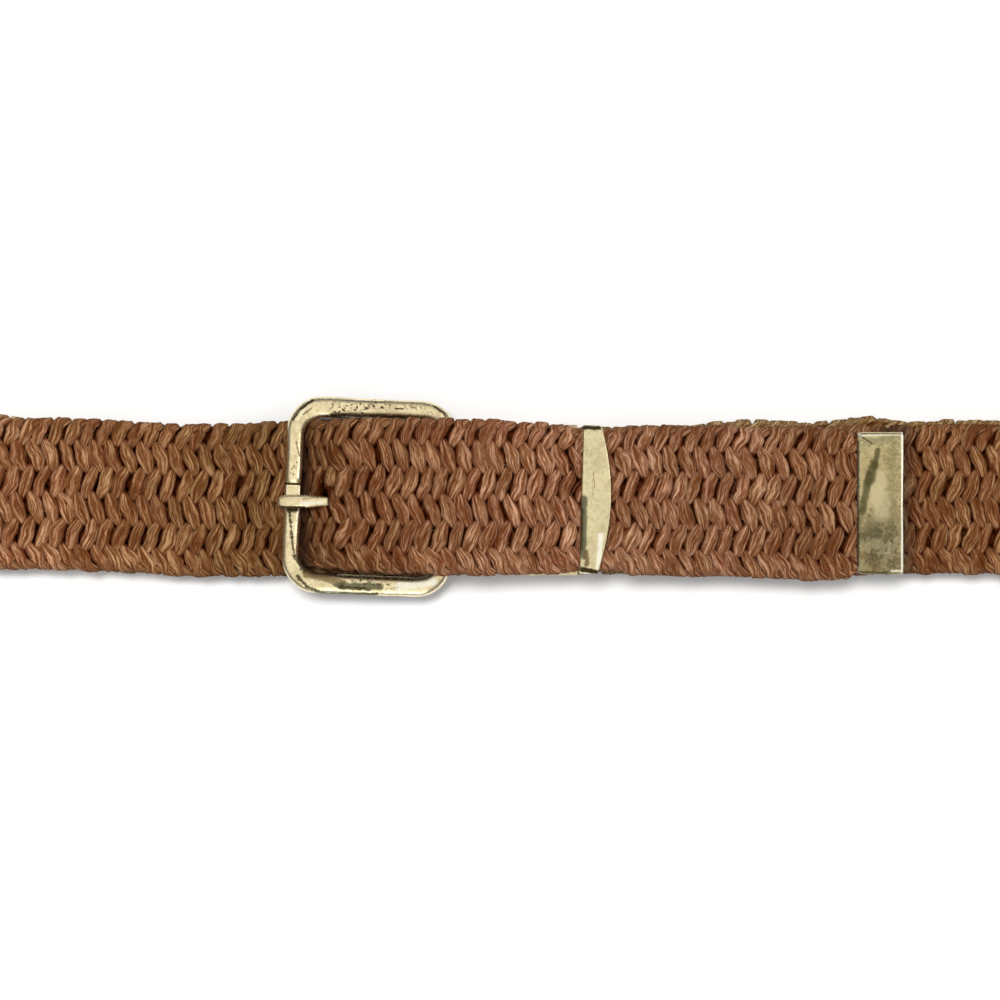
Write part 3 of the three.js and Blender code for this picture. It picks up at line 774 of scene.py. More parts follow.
@dataclass(frozen=True)
class JuteFinish:
    """Jute in a browned natural colour, tinted olive on the layer that lies on the floor, with a painted
    shadow beside the buckle's front bar and painted shade, with some dirt, beside the tip.
    """

    name: str
    pale: Colour = (0.410, 0.238, 0.164)
    mid: Colour = (0.200, 0.088, 0.046)
    deep: Colour = (0.084, 0.022, 0.006)
    # Colour of the ply grooves, and of the painted shade where strands lie deep.
    crevice: Colour = (0.050, 0.008, 0.0005)
    # Colour of the painted shadow that the buckle's front bar casts on the strap.
    shaded: Colour = (0.014, 0.005, 0.003)
    olive: Colour = (1.25, 1.70, 1.60)
    # Tint for the painted shade, with some dirt, on the fixed layer beside the tip.
    grimy_and_shaded: Colour = (0.42, 0.50, 0.58)
    patches: tuple[Colour, Colour] = ((0.93, 0.91, 0.88), (1.06, 1.06, 1.05))
    # Where the painted shadow beside the front bar rises and falls, in x.
    bar_shadow_band: tuple[float, float, float, float] = (-54.0, -51.4, -51.4, -47.2)
    tip_shade_and_grime: tuple[float, float, float, float] = (95.0, 102.0, 104.5, 111.0)
    back_layer_to: tuple[float, float] = (4.2, 5.4)
    bump: float = 0.5
    handled: tuple[tuple[float, Colour], ...] = (
        (-125.0, (0.98, 0.96, 0.86)),
        (-85.0, (0.84, 0.84, 0.68)),
        (-64.0, (0.61, 0.63, 0.45)),
        (-40.0, (0.69, 0.67, 0.55)),
        (-22.0, (0.84, 0.81, 0.74)),
        (0.0, (1.00, 1.00, 1.00)),
        (60.0, (0.87, 0.87, 0.86)),
        (112.0, (0.81, 0.79, 0.65)),
    )

    def material(self, groups: Groups) -> bpy.types.Material:
        """Make the material.

        Args:
            groups: The shared node groups.

        Returns:
            The material.
        """
        material, bench, shader = blank_material(self.name)
        maps = {key.capitalize(): bench.uv(key) for key in ("fibre", "lay", "tint")}
        shades = {"Pale": self.pale, "Mid": self.mid, "Deep": self.deep, "Crevice": self.crevice}
        jute = groups.jute.place(bench, **maps, **shades)
        place = bench.millimetres()
        x, _, z = bench.split(place)
        patchy = bench.noise(place, 0.05, 3.0, 0.55)
        low, high = self.back_layer_to
        # Painted shade, with some dirt, on the fixed layer under the tip and just right of it.
        under_tip = bench.both(bench.window(x, self.tip_shade_and_grime), bench.ramp(z, low, high))
        colour = bench.tinted(jute.outputs["Color"], self._handled_tint(bench, x))
        colour = bench.tinted(colour, bench.mix(bench.ramp(patchy, 0.4, 0.62), *self.patches))
        # Olive tint, which also lightens, on the layer that lies on the floor.
        colour = bench.tinted(colour, self.olive, bench.ramp(z, high, low))
        colour = bench.tinted(colour, self.grimy_and_shaded, under_tip)
        # Painted shadow: a near-black band on the strap just right of the buckle's front bar.
        colour = bench.mix(bench.times(bench.window(x, self.bar_shadow_band), 0.92), colour, self.shaded)
        bench.feed(shader.inputs["Base Color"], colour)
        bench.feed(shader.inputs["Roughness"], jute.outputs["Roughness"])
        shader.inputs["Specular IOR Level"].default_value = 0.06
        bench.feed(shader.inputs["Normal"], bench.relief(jute.outputs["Height"], self.bump, 0.0005))
        return material

    def _handled_tint(self, bench: Bench, x: bpy.types.NodeSocket) -> bpy.types.NodeSocket:
        """Return the tint that dirt and handling give the strap along its length, by its x in millimetres."""
        half = SIZES.laid_length / 2.0
        ramp = bench.add("ShaderNodeValToRGB")
        bench.feed(ramp.inputs[0], bench.math("DIVIDE", bench.plus(x, half), 2.0 * half, clamp=True))
        stops = ramp.color_ramp.elements
        ends = (stops[0], stops[1])
        for stop, (at, tint) in zip(ends, (self.handled[0], self.handled[-1])):
            stop.position = (at + half) / (2.0 * half)
            stop.color = (*tint, 1.0)
        for at, tint in self.handled[1:-1]:
            stops.new((at + half) / (2.0 * half)).color = (*tint, 1.0)
        return ramp.outputs[0]


@dataclass(frozen=True)
class Stroke:
    """One mark on the brass between two places seen from above: a stain, a scratch, a painted highlight or
    painted shade.
    """

    start: tuple[float, float]
    end: tuple[float, float]
    width: float
    stain: Stain = Stain.TARNISH
    strength: float = 0.8
    wobble: float = 0.5
    grain: float = 1.2
    pitted: float = 0.0


@dataclass(frozen=True)
class BrassFinish:
    """Aged cast or sheet brass with its own tarnish and marks, among them painted highlights and painted
    shade.
    """

    name: str
    clean: Colour = (0.930, 0.780, 0.470)
    dull: Colour = (0.560, 0.450, 0.235)
    tarnish: Colour = (0.100, 0.072, 0.028)
    clouds: float = 0.55
    specks: float = 0.75
    gloss: float = 0.24
    bump: float = 0.40
    brush: tuple[float, float, float] = (0.35, 5.0, 1.0)
    strokes: tuple[Stroke, ...] = ()

    def material(self, groups: Groups, has_wear: bool = True) -> bpy.types.Material:
        """Make the material.

        Args:
            groups: The shared node groups.
            has_wear: Whether the piece has the UV map of its edges and recesses.

        Returns:
            The material.
        """
        material, bench, shader = blank_material(self.name)
        place = bench.vector("ADD", bench.millimetres(), (0.0, LINE_DRIFT, 0.0)).outputs[0]
        names = ("clean", "dull", "tarnish", "clouds", "specks", "gloss", "brush")
        values = {name.capitalize(): getattr(self, name) for name in names}
        patina = groups.patina.place(bench, Place=place, **values)
        if has_wear:
            bench.feed(patina.inputs["Wear"], bench.uv("wear"))
        colour = patina.outputs["Color"]
        marked: object = 0.0
        for stroke in self.strokes:
            mask = groups.stroke.place(
                bench,
                Place=place,
                Start=(*stroke.start, 0.0),
                End=(*stroke.end, 0.0),
                Width=stroke.width,
                Wobble=stroke.wobble,
                Grain=stroke.grain,
                Pitted=stroke.pitted,
            )
            amount = bench.times(mask.outputs["Mask"], stroke.strength)
            colour = bench.mix(amount, colour, stroke.stain.value)
            # Painted highlights and pale marks leave the roughness alone.
            if stroke.stain not in (Stain.BRIGHT_WEAR_AND_HIGHLIGHT, Stain.PALE):
                marked = bench.larger(marked, amount)
        rough = bench.plus(patina.outputs["Roughness"], bench.times(marked, 0.3))
        bench.feed(shader.inputs["Base Color"], colour)
        bench.feed(shader.inputs["Roughness"], rough)
        shader.inputs["Metallic"].default_value = 1.0
        bench.feed(shader.inputs["Normal"], bench.relief(patina.outputs["Height"], self.bump, 0.0003))
        return material


class StrapRoute:
    """The middle line of the strap from its fixed end round both folds to its free end."""

    STEP = 0.25
    FLOOR = 0.03
    RIGHT_DRIFT = 0.004
    LEFT_DRIFT = 0.068

    def __init__(self, sizes: Sizes) -> None:
        """Sample the route.

        Args:
            sizes: The belt's sizes.
        """
        self.sizes = sizes
        fold_x = sizes.fold_x
        fixed = np.arange(sizes.sleeve_start_x + 1.0, fold_x, self.STEP)
        back = np.arange(fold_x, -fold_x, -self.STEP)
        free = np.arange(-fold_x, sizes.tip_x - sizes.tip_sheet - sizes.clearance, self.STEP)
        runs = [
            self._run(self._fixed_tables(), fixed, 0.0),
            self._fold(1),
            self._run(self._back_tables(), back, -math.pi),
            self._fold(-1),
            self._run(self._free_tables(), free, -2.0 * math.pi),
        ]
        self.line = np.concatenate(runs)
        steps = np.hypot(np.diff(self.line[:, 0]), np.diff(self.line[:, 2]))
        self.along = np.concatenate([[0.0], np.cumsum(steps)])
        self.free_from = self.along[-len(free)]

    @property
    def length(self) -> float:
        """The strap's length along its middle."""
        return float(self.along[-1])

    def _fixed_tables(self) -> dict[str, Rows]:
        """The tables of the fixed layer, from the clamp to the right fold."""
        s = self.sizes
        drift = s.keeper_drift / s.strap_width
        return {
            "height": [
                (s.sleeve_start_x + 1, s.clamp_height),
                (s.keeper_end_x + 2, s.clamp_height),
                (s.keeper_end_x + s.step_down_length, s.left_height),
                (s.fold_x - s.opening_length, s.left_height),
                (s.fold_x, s.fold_height),
            ],
            "drift": [
                (s.sleeve_end_x - 3, 0.0),
                (s.sleeve_end_x - 0.5, drift),
                (s.keeper_end_x, drift),
                (0.5 * (s.keeper_end_x + s.tip_x), -0.012),
                (s.tip_x + s.tip_length, 0.003),
                (s.fold_x, self.RIGHT_DRIFT),
            ],
            "width": [
                (s.sleeve_end_x - 3, s.in_sleeve),
                (s.sleeve_end_x - 0.5, s.in_keeper),
                (s.keeper_end_x, s.in_keeper),
                (s.keeper_end_x + s.ease_length, 1.0),
            ],
            "thickness": [(0.0, 1.0)],
        }

    def _back_tables(self) -> dict[str, Rows]:
        """The tables of the back layer on the surface."""
        drifts = (
            (-1.0, self.LEFT_DRIFT),
            (-0.7, 0.08),
            (-0.6, 0.03),
            (-0.5, 0.0),
            (-0.34, 0.0),
            (-0.26, 0.008),
            (-0.10, 0.008),
            (-0.02, 0.0),
            (0.22, 0.0),
            (0.35, 0.045),
            (0.41, 0.033),
            (0.52, 0.066),
            (0.58, 0.036),
            (0.63, 0.052),
            (0.7, 0.042),
            (1.0, self.RIGHT_DRIFT),
        )
        return {
            "height": [(0.0, self.sizes.half_thickness)],
            "drift": [(share * self.sizes.fold_x, drift) for share, drift in drifts],
            "width": [(-64.0, 1.0), (-48.0, 1.075), (-22.0, 1.075), (-6.0, 1.0)],
            "thickness": [(0.0, 1.0)],
        }

    def _free_tables(self) -> dict[str, Rows]:
        """The tables of the free layer, from the left fold to the tip."""
        s = self.sizes
        drift = s.keeper_drift / s.strap_width
        return {
            "height": [
                (-s.fold_x, s.fold_height),
                (-s.fold_x + s.opening_length, s.left_height),
                (s.climb_start_x, s.left_height),
                (s.climb_end_x, s.over_clamp_height),
                (s.sleeve_end_x, s.over_clamp_height),
                (s.keeper_end_x + s.step_down_length, s.free_height),
                (s.tip_start_x - s.tip_length, s.free_height),
                (s.tip_start_x, s.tip_height),
            ],
            "drift": [
                (-s.fold_x, self.LEFT_DRIFT),
                (-0.66 * s.fold_x, 0.042),
                (-0.55 * s.fold_x, 0.033),
                (-0.42 * s.fold_x, 0.001),
                (s.front_bar_x - s.ease_length, 0.003),
                (s.climb_start_x, 0.04),
                (s.climb_end_x, 0.04),
                (s.heel_bar_x, 0.022),
                (s.sleeve_end_x - 4, 0.012),
                (s.keeper_start_x, drift),
                (s.keeper_end_x, drift),
                (0.6 * s.keeper_end_x + 0.4 * s.tip_start_x, -0.009),
                (s.tip_start_x - s.ease_length, -0.031),
                (s.tip_start_x - 0.5, s.tip_drift / s.strap_width),
            ],
            "width": [
                (-s.fold_x, 1.0),
                (-0.66 * s.fold_x, 1.02),
                (s.front_bar_x - s.ease_length, s.spread),
                (s.climb_start_x, s.in_buckle),
                (s.climb_end_x - s.ease_length / 2, s.in_buckle),
                (s.climb_end_x + s.ease_length, s.spread),
                (s.heel_bar_x + s.ease_length, s.spread),
                (s.keeper_start_x - s.ease_length, 1.0),
                (s.keeper_start_x, s.in_keeper),
                (s.keeper_end_x, s.in_keeper),
                (s.keeper_end_x + s.ease_length, 1.0),
                (s.tip_start_x - s.ease_length, 1.02),
                (s.tip_start_x - 1.8, 1.0),
                (s.tip_start_x - 0.2, s.in_tip),
            ],
            "thickness": [(s.tip_start_x - 3.5, 1.0), (s.tip_start_x - 0.5, s.pinched_in_tip)],
        }

    def _run(self, tables: dict[str, Rows], x: Array, heading: float) -> Array:
        """Sample one run.

        Args:
            tables: Its tables.
            x: The places along the belt, in the order that the strap takes.
            heading: The heading of a level stretch of the run.

        Returns:
            Rows of x, drift, height, heading, share of width and share of thickness.
        """
        step = 0.05
        rise = eased(tables["height"], x + step) - eased(tables["height"], x - step)
        return np.column_stack(
            [
                x,
                eased(tables["drift"], x) * self.sizes.strap_width,
                eased(tables["height"], x),
                heading + np.arctan(rise / (2 * step)),
                eased(tables["width"], x),
                eased(tables["thickness"], x),
            ]
        )

    def _fold(self, side: int) -> Array:
        """Sample the half circle of a fold, on the right where side is 1 and on the left where it is -1."""
        radius = self.sizes.fold_radius
        turned = np.linspace(0.0, math.pi, 102)[1:-1]
        heading = -turned if side > 0 else -math.pi - turned
        drift = (self.RIGHT_DRIFT if side > 0 else self.LEFT_DRIFT) * self.sizes.strap_width
        x = side * self.sizes.fold_x - np.sin(heading) * radius
        z = self.sizes.half_thickness + radius + np.cos(heading) * radius
        ones = np.ones_like(x)
        return np.column_stack([x, drift * ones, z, heading, ones, ones])

    def along_free(self, x: float) -> float:
        """Return the distance along the strap of a place on its free layer."""
        free = self.along >= self.free_from
        return float(np.interp(x, self.line[free, 0], self.along[free]))

    def place(self, along: Array, across: Array, up: Array) -> Array:
        """Bring points of the flat strap onto the route.

        Args:
            along: Distances along the strap.
            across: Distances from its middle line.
            up: Distances from its middle plane.

        Returns:
            The points.
        """
        x, drift, z, heading, wide, thick = (np.interp(along, self.along, column) for column in self.line.T)
        up = up * thick
        height = np.maximum(z + np.cos(heading) * up, self.FLOOR)
        return np.stack([x - np.sin(heading) * up, drift + across * wide, height], axis=-1)


@dataclass
class BraidedStrap:
    """The strap: thirteen strands in a flat braid of six rows."""

    route: StrapRoute
    finish: JuteFinish = JuteFinish("browned_jute")
    strand_count: int = 13
    rows: int = 6
    pitch: float = 4.1
    reach: float = 18.2
    lift: float = 1.15
    half_width: float = 2.10
    half_depth: float = 1.15
    edge_sharpness: float = 0.985
    upright: tuple[float, ...] = (0.45, 0.52, 0.52, 0.52, 0.52, 0.56, 1.0, 0.56, 0.52, 0.52, 0.52, 0.50)
    overlap: float = 0.16
    fullness: tuple[float, ...] = (1.0, 0.98, 1.0, 0.96, 1.0, 0.90, 1.0, 1.06, 1.0, 1.06, 1.0, 1.12)
    edge_fullness: float = 1.22
    phases: tuple[float, ...] = (0.0, 0.07, 0.14, 0.25, 0.42, 0.58, 0.75, 0.86, 0.93)
    points_round: int = 18
    plies: int = 5
    ply_twist: float = 0.55
    ply_relief: float = 0.045
    section_power: float = 0.92
    seed: int = 7100
    stray_along: float = 0.50
    stray_bend: float = 0.45
    stray_across: float = 0.55
    stray_edge: float = 0.35
    stray_up: float = 0.20
    stray_lean: float = 0.3
    stray_width: float = 0.18
    stray_depth: float = 0.14
    outer_height: float = 2.3
    outer_edge: tuple[float, float] = (16.6, 18.8)
    prong_x: float = -44.6
    prong_drift: float = -0.35
    prong_room: float = 2.7

    @property
    def cycle(self) -> float:
        """Length of strap in which a strand crosses it both ways."""
        return self.strand_count * self.pitch

    def _centre(self, t: Array, index: int, wild: Array) -> tuple[Array, Array, Array]:
        """Find the middle line of a strand on the flat strap.

        Args:
            t: Rows crossed since the strand's start. Each takes one pitch, and each turn at an edge half
                a pitch more, so that the leaves of one row end between those of the next.
            index: The strand's number.
            wild: Random shifts of each float, one row per float.

        Returns:
            Distances along the strap, across it and up from its middle plane.
        """
        unit_length = self.cycle / (2 * self.rows)
        window = np.sin(np.pi * t) ** 2
        shift = wild[np.floor(t).astype(int)]
        turn = np.round(t / self.rows)
        at_turn = turn + np.clip((t - turn * self.rows) / 2.0, -0.5, 0.5)
        along = self.pitch * (t + 0.5 * at_turn) + unit_length * self._lean(t, wild) - self.pitch * index
        theta = np.pi * (t - self.rows / 2) / self.rows
        across = self.reach * np.arcsin(self.edge_sharpness * np.sin(theta)) / math.asin(self.edge_sharpness)
        up = self.lift * np.tanh(3.0 * (math.sin(math.pi * self.overlap) - np.sin(np.pi * t)))
        strayed = self.stray_along * shift[:, Wild.ALONG]
        bent = self.stray_bend * shift[:, Wild.BEND] * np.sin(FULL_TURN * t)
        edge = self.stray_edge * wild[turn.astype(int), Wild.EDGE] * self._near_edge(t)
        along = along + (strayed + bent) * window
        across = across + self.stray_across * shift[:, Wild.ACROSS] * window
        across = across + edge * np.sign(across)
        up = up + self.stray_up * shift[:, Wild.UP] * window * np.sign(up)
        return along, across, up

    def _lean(self, t: Array, wild: Array) -> Array:
        """Find how far a strand runs ahead of its even slant.

        It falls back while the strand is on the face, so that what shows stands more upright.

        Args:
            t: Rows crossed since the strand's start.
            wild: Random shifts of each float.

        Returns:
            The lead, in rows.
        """
        ends = np.arange(len(wild))
        sign = np.where(ends % 2 == 1, 1.0, -1.0)
        wanted = np.array(self.upright)[ends % len(self.upright)]
        lead = 0.5 * sign * wanted * (1.0 + self.stray_lean * wild[:, Wild.LEAN])
        at = ends - sign * self.overlap
        return sum(np.interp(t + step, at, lead) for step in (-0.07, 0.0, 0.07)) / 3.0

    def _leaf(self, t: Array) -> Array:
        """Return a strand's share of its full width: a pointed leaf where it shows, plainer beneath."""
        u = np.mod(t - 1.0, 2.0)
        shown = np.where(u > 1.5, u - 2.0, u)
        front = np.clip((shown + self.overlap) / (1.0 + 2.0 * self.overlap), 0.0, 1.0)
        back = np.clip((u - 1.0 - self.overlap) / (1.0 - 2.0 * self.overlap), 0.0, 1.0)
        return 0.36 + 0.64 * np.sin(np.pi * front) ** 0.8 + 0.40 * np.sin(np.pi * back)

    def _near_edge(self, t: Array) -> Array:
        """Return 1 where a strand turns back at an edge, and 0 from half a row away."""
        return np.cos(np.pi * np.clip(t - np.round(t / self.rows) * self.rows, -0.5, 0.5)) ** 2

    def _parted(self, along: Array, across: Array) -> tuple[Array, Array, Array]:
        """Move a strand's middle line out of the prong's way.

        Args:
            along: Distances along the strap.
            across: Distances across it.

        Returns:
            The moved distances, and how tightly the strand is pressed there.
        """
        da = along - self.route.along_free(self.prong_x)
        dc = across - self.prong_drift
        reach = np.hypot(da, dc) + 1e-6
        pushed = (reach**3 + self.prong_room**3) ** (1.0 / 3.0)
        tight = np.exp(-((reach / (1.6 * self.prong_room)) ** 2))
        return along + da * (pushed / reach - 1.0), across + dc * (pushed / reach - 1.0), tight

    def _facing(self, t: Array, heading: Array) -> tuple[Array, Array]:
        """Find which way a strand's flat section lies, as it turns over at each edge of the strap.

        Args:
            t: Rows crossed since the strand's start.
            heading: The strand's headings.

        Returns:
            The directions of its width and of its depth.
        """
        turn = t / self.rows
        nearest = np.round(turn)
        swing = smoothstep(-0.5, 0.5, (turn - nearest) * self.rows)
        face = np.pi * np.where(nearest % 2 == 1, swing, 1.0 - swing)
        normal = np.stack([np.zeros_like(face), np.sin(face), np.cos(face)], axis=-1)
        normal = unit(normal - heading * np.sum(normal * heading, axis=-1, keepdims=True))
        return np.cross(heading, normal), normal

    def _section(self, t: Array, slow: Array, shift: Array, tight: Array) -> tuple[Array, Array]:
        """Find the half width and the half depth of a strand.

        Args:
            t: Rows crossed since the strand's start.
            slow: A slow change of its width.
            shift: Random shifts of the float at each place.
            tight: How tightly it is pressed beside the prong.

        Returns:
            Both sizes.
        """
        window = np.sin(np.pi * t) ** 2
        leaf = np.maximum(self._leaf(t), self.edge_fullness * self._near_edge(t))
        full = np.array(self.fullness)[np.floor(t).astype(int) % (2 * self.rows)] - 1.0
        own_width = slow * (1.0 + (full + self.stray_width * shift[:, Wild.WIDTH]) * window)
        wide = self.half_width * leaf * own_width * (1.0 - 0.3 * tight)
        swell = 0.70 + 0.38 * np.minimum(leaf, 1.0)
        deep = self.half_depth * swell * (1.0 + self.stray_depth * shift[:, Wild.DEPTH] * window)
        return wide, deep

    def strand(self, index: int) -> Skin:
        """Make one strand along the whole strap.

        Args:
            index: The strand's number, from nought.

        Returns:
            Its skin, with maps of the place along its plies, of how deep it lies and of its own tint.
        """
        rng = np.random.default_rng(self.seed + index)
        units = 2 * self.rows
        first = units * index / self.strand_count
        last = first + units * self.route.length / self.cycle
        t = (np.arange(int(first), int(last) + 1)[:, None] + np.array(self.phases)).ravel()
        t = t[(t >= first) & (t <= last)]
        wild = rng.uniform(-1.0, 1.0, (int(t[-1]) + 3, len(Wild)))
        along, across, up = self._centre(t, index, wild)
        along, across, tight = self._parted(along, across)
        along = np.clip(along, 0.0, self.route.length)
        centre = np.stack([along, across, up], axis=-1)
        side, normal = self._facing(t, unit(np.gradient(centre, axis=0)))
        shift = wild[np.floor(t).astype(int)]
        wide, deep = self._section(t, 1.0 + 0.07 * np.sin(0.11 * along + 2.1 * index), shift, tight)

        angle = FULL_TURN * np.arange(self.points_round + 1) / self.points_round
        ply = self.plies * angle[None, :] + self.ply_twist * t[:, None] + index
        lobe = 1.0 + self.ply_relief * np.cos(ply)
        aside = (wide[:, None] * fuller(np.cos(angle), self.section_power) * lobe)[..., None]
        above = (deep[:, None] * fuller(np.sin(angle), self.section_power) * lobe)[..., None]
        ring = centre[:, None, :] + aside * side[:, None, :] + above * normal[:, None, :]
        reached = np.clip(ring[..., 0], 0.0, self.route.length)
        grid = self.route.place(reached, ring[..., 1], ring[..., 2])

        length = np.concatenate([[0.0], np.cumsum(np.linalg.norm(np.diff(centre, axis=0), axis=1))])
        walked = np.broadcast_to((0.1 * length + 11.3 * index)[:, None], ply.shape)
        fibre = np.stack([ply / FULL_TURN + 31.0 * index, walked], axis=-1)
        # The lay map holds how deep each point lies and how tightly it is pressed; the finish paints shade
        # from it.
        by_edge = smoothstep(*self.outer_edge, np.abs(ring[..., 1]))
        outer = np.maximum(np.abs(ring[..., 2]) / self.outer_height, by_edge)
        pressed = np.broadcast_to(tight[:, None], outer.shape)
        lay = np.stack([np.clip(1.0 - outer, 0.0, 1.0), pressed], axis=-1)
        window = np.sin(np.pi * t)[:, None, None] ** 2
        tint = 0.5 + 0.5 * shift[:, None, [Wild.ALONG, Wild.UP]] * window
        maps = {"fibre": fibre, "lay": lay, "tint": np.broadcast_to(tint, lay.shape)}
        skin = Skin()
        skin.add_grid(grid[:, :-1], maps, capped=True)
        return skin

    def build(self, groups: Groups) -> None:
        """Make every strand and dress it.

        Args:
            groups: The shared node groups.
        """
        material = self.finish.material(groups)
        for index in range(self.strand_count):
            made = self.strand(index).piece(f"strand_{index + 1:02d}")
            enlist(made, "braided_strap", material)


@dataclass
class LooseFibres:
    """The short fibre ends that stand off both faces and both edges of the strap."""

    route: StrapRoute
    count: int = 1500
    seed: int = 4211
    points: int = 5
    share_on_face: float = 0.62
    share_at_edges: float = 0.10
    clear_of_ends: tuple[float, float] = (6.0, 14.0)
    spread: float = 17.6
    farthest: float = 18.3
    half_width: float = 19.0
    row_width: float = 6.33
    bearing: float = 1.05
    bearing_spread: float = 0.32
    lengths: tuple[float, float] = (2.5, 8.5)
    bend_spread: float = 0.45
    stands: tuple[float, float] = (0.05, 0.75)
    pokes: tuple[float, float] = (0.2, 1.3)
    surface: float = 1.95
    edge: float = 17.8
    radius: float = 0.042
    finish: JuteFinish = JuteFinish(
        "loose_jute",
        pale=(0.44, 0.28, 0.17),
        mid=(0.33, 0.19, 0.10),
        deep=(0.20, 0.10, 0.045),
        bump=0.05,
    )

    def _lines(self, share: Array) -> Array:
        """Lay the middle lines of the fibres on the belt.

        Args:
            share: Shares of a fibre's length, as one row.

        Returns:
            The points, by fibre and share.
        """
        rng = np.random.default_rng(self.seed)
        count = self.count
        over = np.where(rng.random(count) < self.share_on_face, 1.0, -1.0)[:, None]
        at_edge = (rng.random(count) < self.share_at_edges)[:, None]
        first, last = self.clear_of_ends
        start_along = rng.uniform(first, self.route.length - last, count)[:, None]
        start_across = rng.uniform(-self.spread, self.spread, count)[:, None]
        side = np.where(rng.random(count) < 0.5, 1.0, -1.0)[:, None]
        row = np.floor((start_across + self.half_width) / self.row_width).astype(int)
        leaning = np.where((row % 2 == 0) == (over > 0), -1.0, 1.0)
        bearing = leaning * (self.bearing + rng.normal(0.0, self.bearing_spread, count)[:, None])
        length = rng.uniform(*self.lengths, count)[:, None]
        heading = bearing + rng.normal(0.0, self.bend_spread, count)[:, None] * share
        stand = rng.uniform(*self.stands, count)[:, None]
        poke = rng.uniform(*self.pokes, count)[:, None]
        across = np.clip(start_across + length * share * np.sin(heading), -self.farthest, self.farthest)
        on_face = (
            start_along + length * share * np.cos(heading),
            across,
            over * (self.surface + stand * np.sin(0.5 * np.pi * share) ** 1.5),
        )
        on_edge = (
            start_along + side * length * 0.45 * share,
            side * (self.edge + (0.7 + poke) * share),
            over * 1.2 * (1.0 - 0.6 * share),
        )
        return self.route.place(*(np.where(at_edge, b, a) for a, b in zip(on_face, on_edge)))

    def skin(self) -> Skin:
        """Make the fibres.

        Returns:
            Their skin.
        """
        share = np.linspace(0.0, 1.0, self.points)[None, :]
        line = self._lines(share)
        heading = unit(np.gradient(line, axis=1))
        aside = unit(np.cross(heading, np.array([0.05, 0.0, 1.0])))
        above = np.cross(aside, heading)
        radius = (self.radius * (1.0 - 0.6 * share))[..., None]
        rings = np.stack([line + way * radius for way in (aside, above, -aside, -above)], axis=2)
        none = np.zeros((self.points, 5, 2))
        uv = none.copy()
        uv[..., 0] = np.linspace(0.0, 0.2, 5)[None, :]
        uv[..., 1] = 0.8 * share[0][:, None]
        skin = Skin()
        for k, ring in enumerate(rings):
            skin.add_grid(ring, {"fibre": uv + 0.37 * k, "lay": none, "tint": none + 0.6}, capped=True)
        return skin

    def build(self, groups: Groups) -> None:
        """Make the fibres and dress them.

        Args:
            groups: The shared node groups.
        """
        enlist(self.skin().piece("loose_fibres"), "braided_strap", self.finish.material(groups))


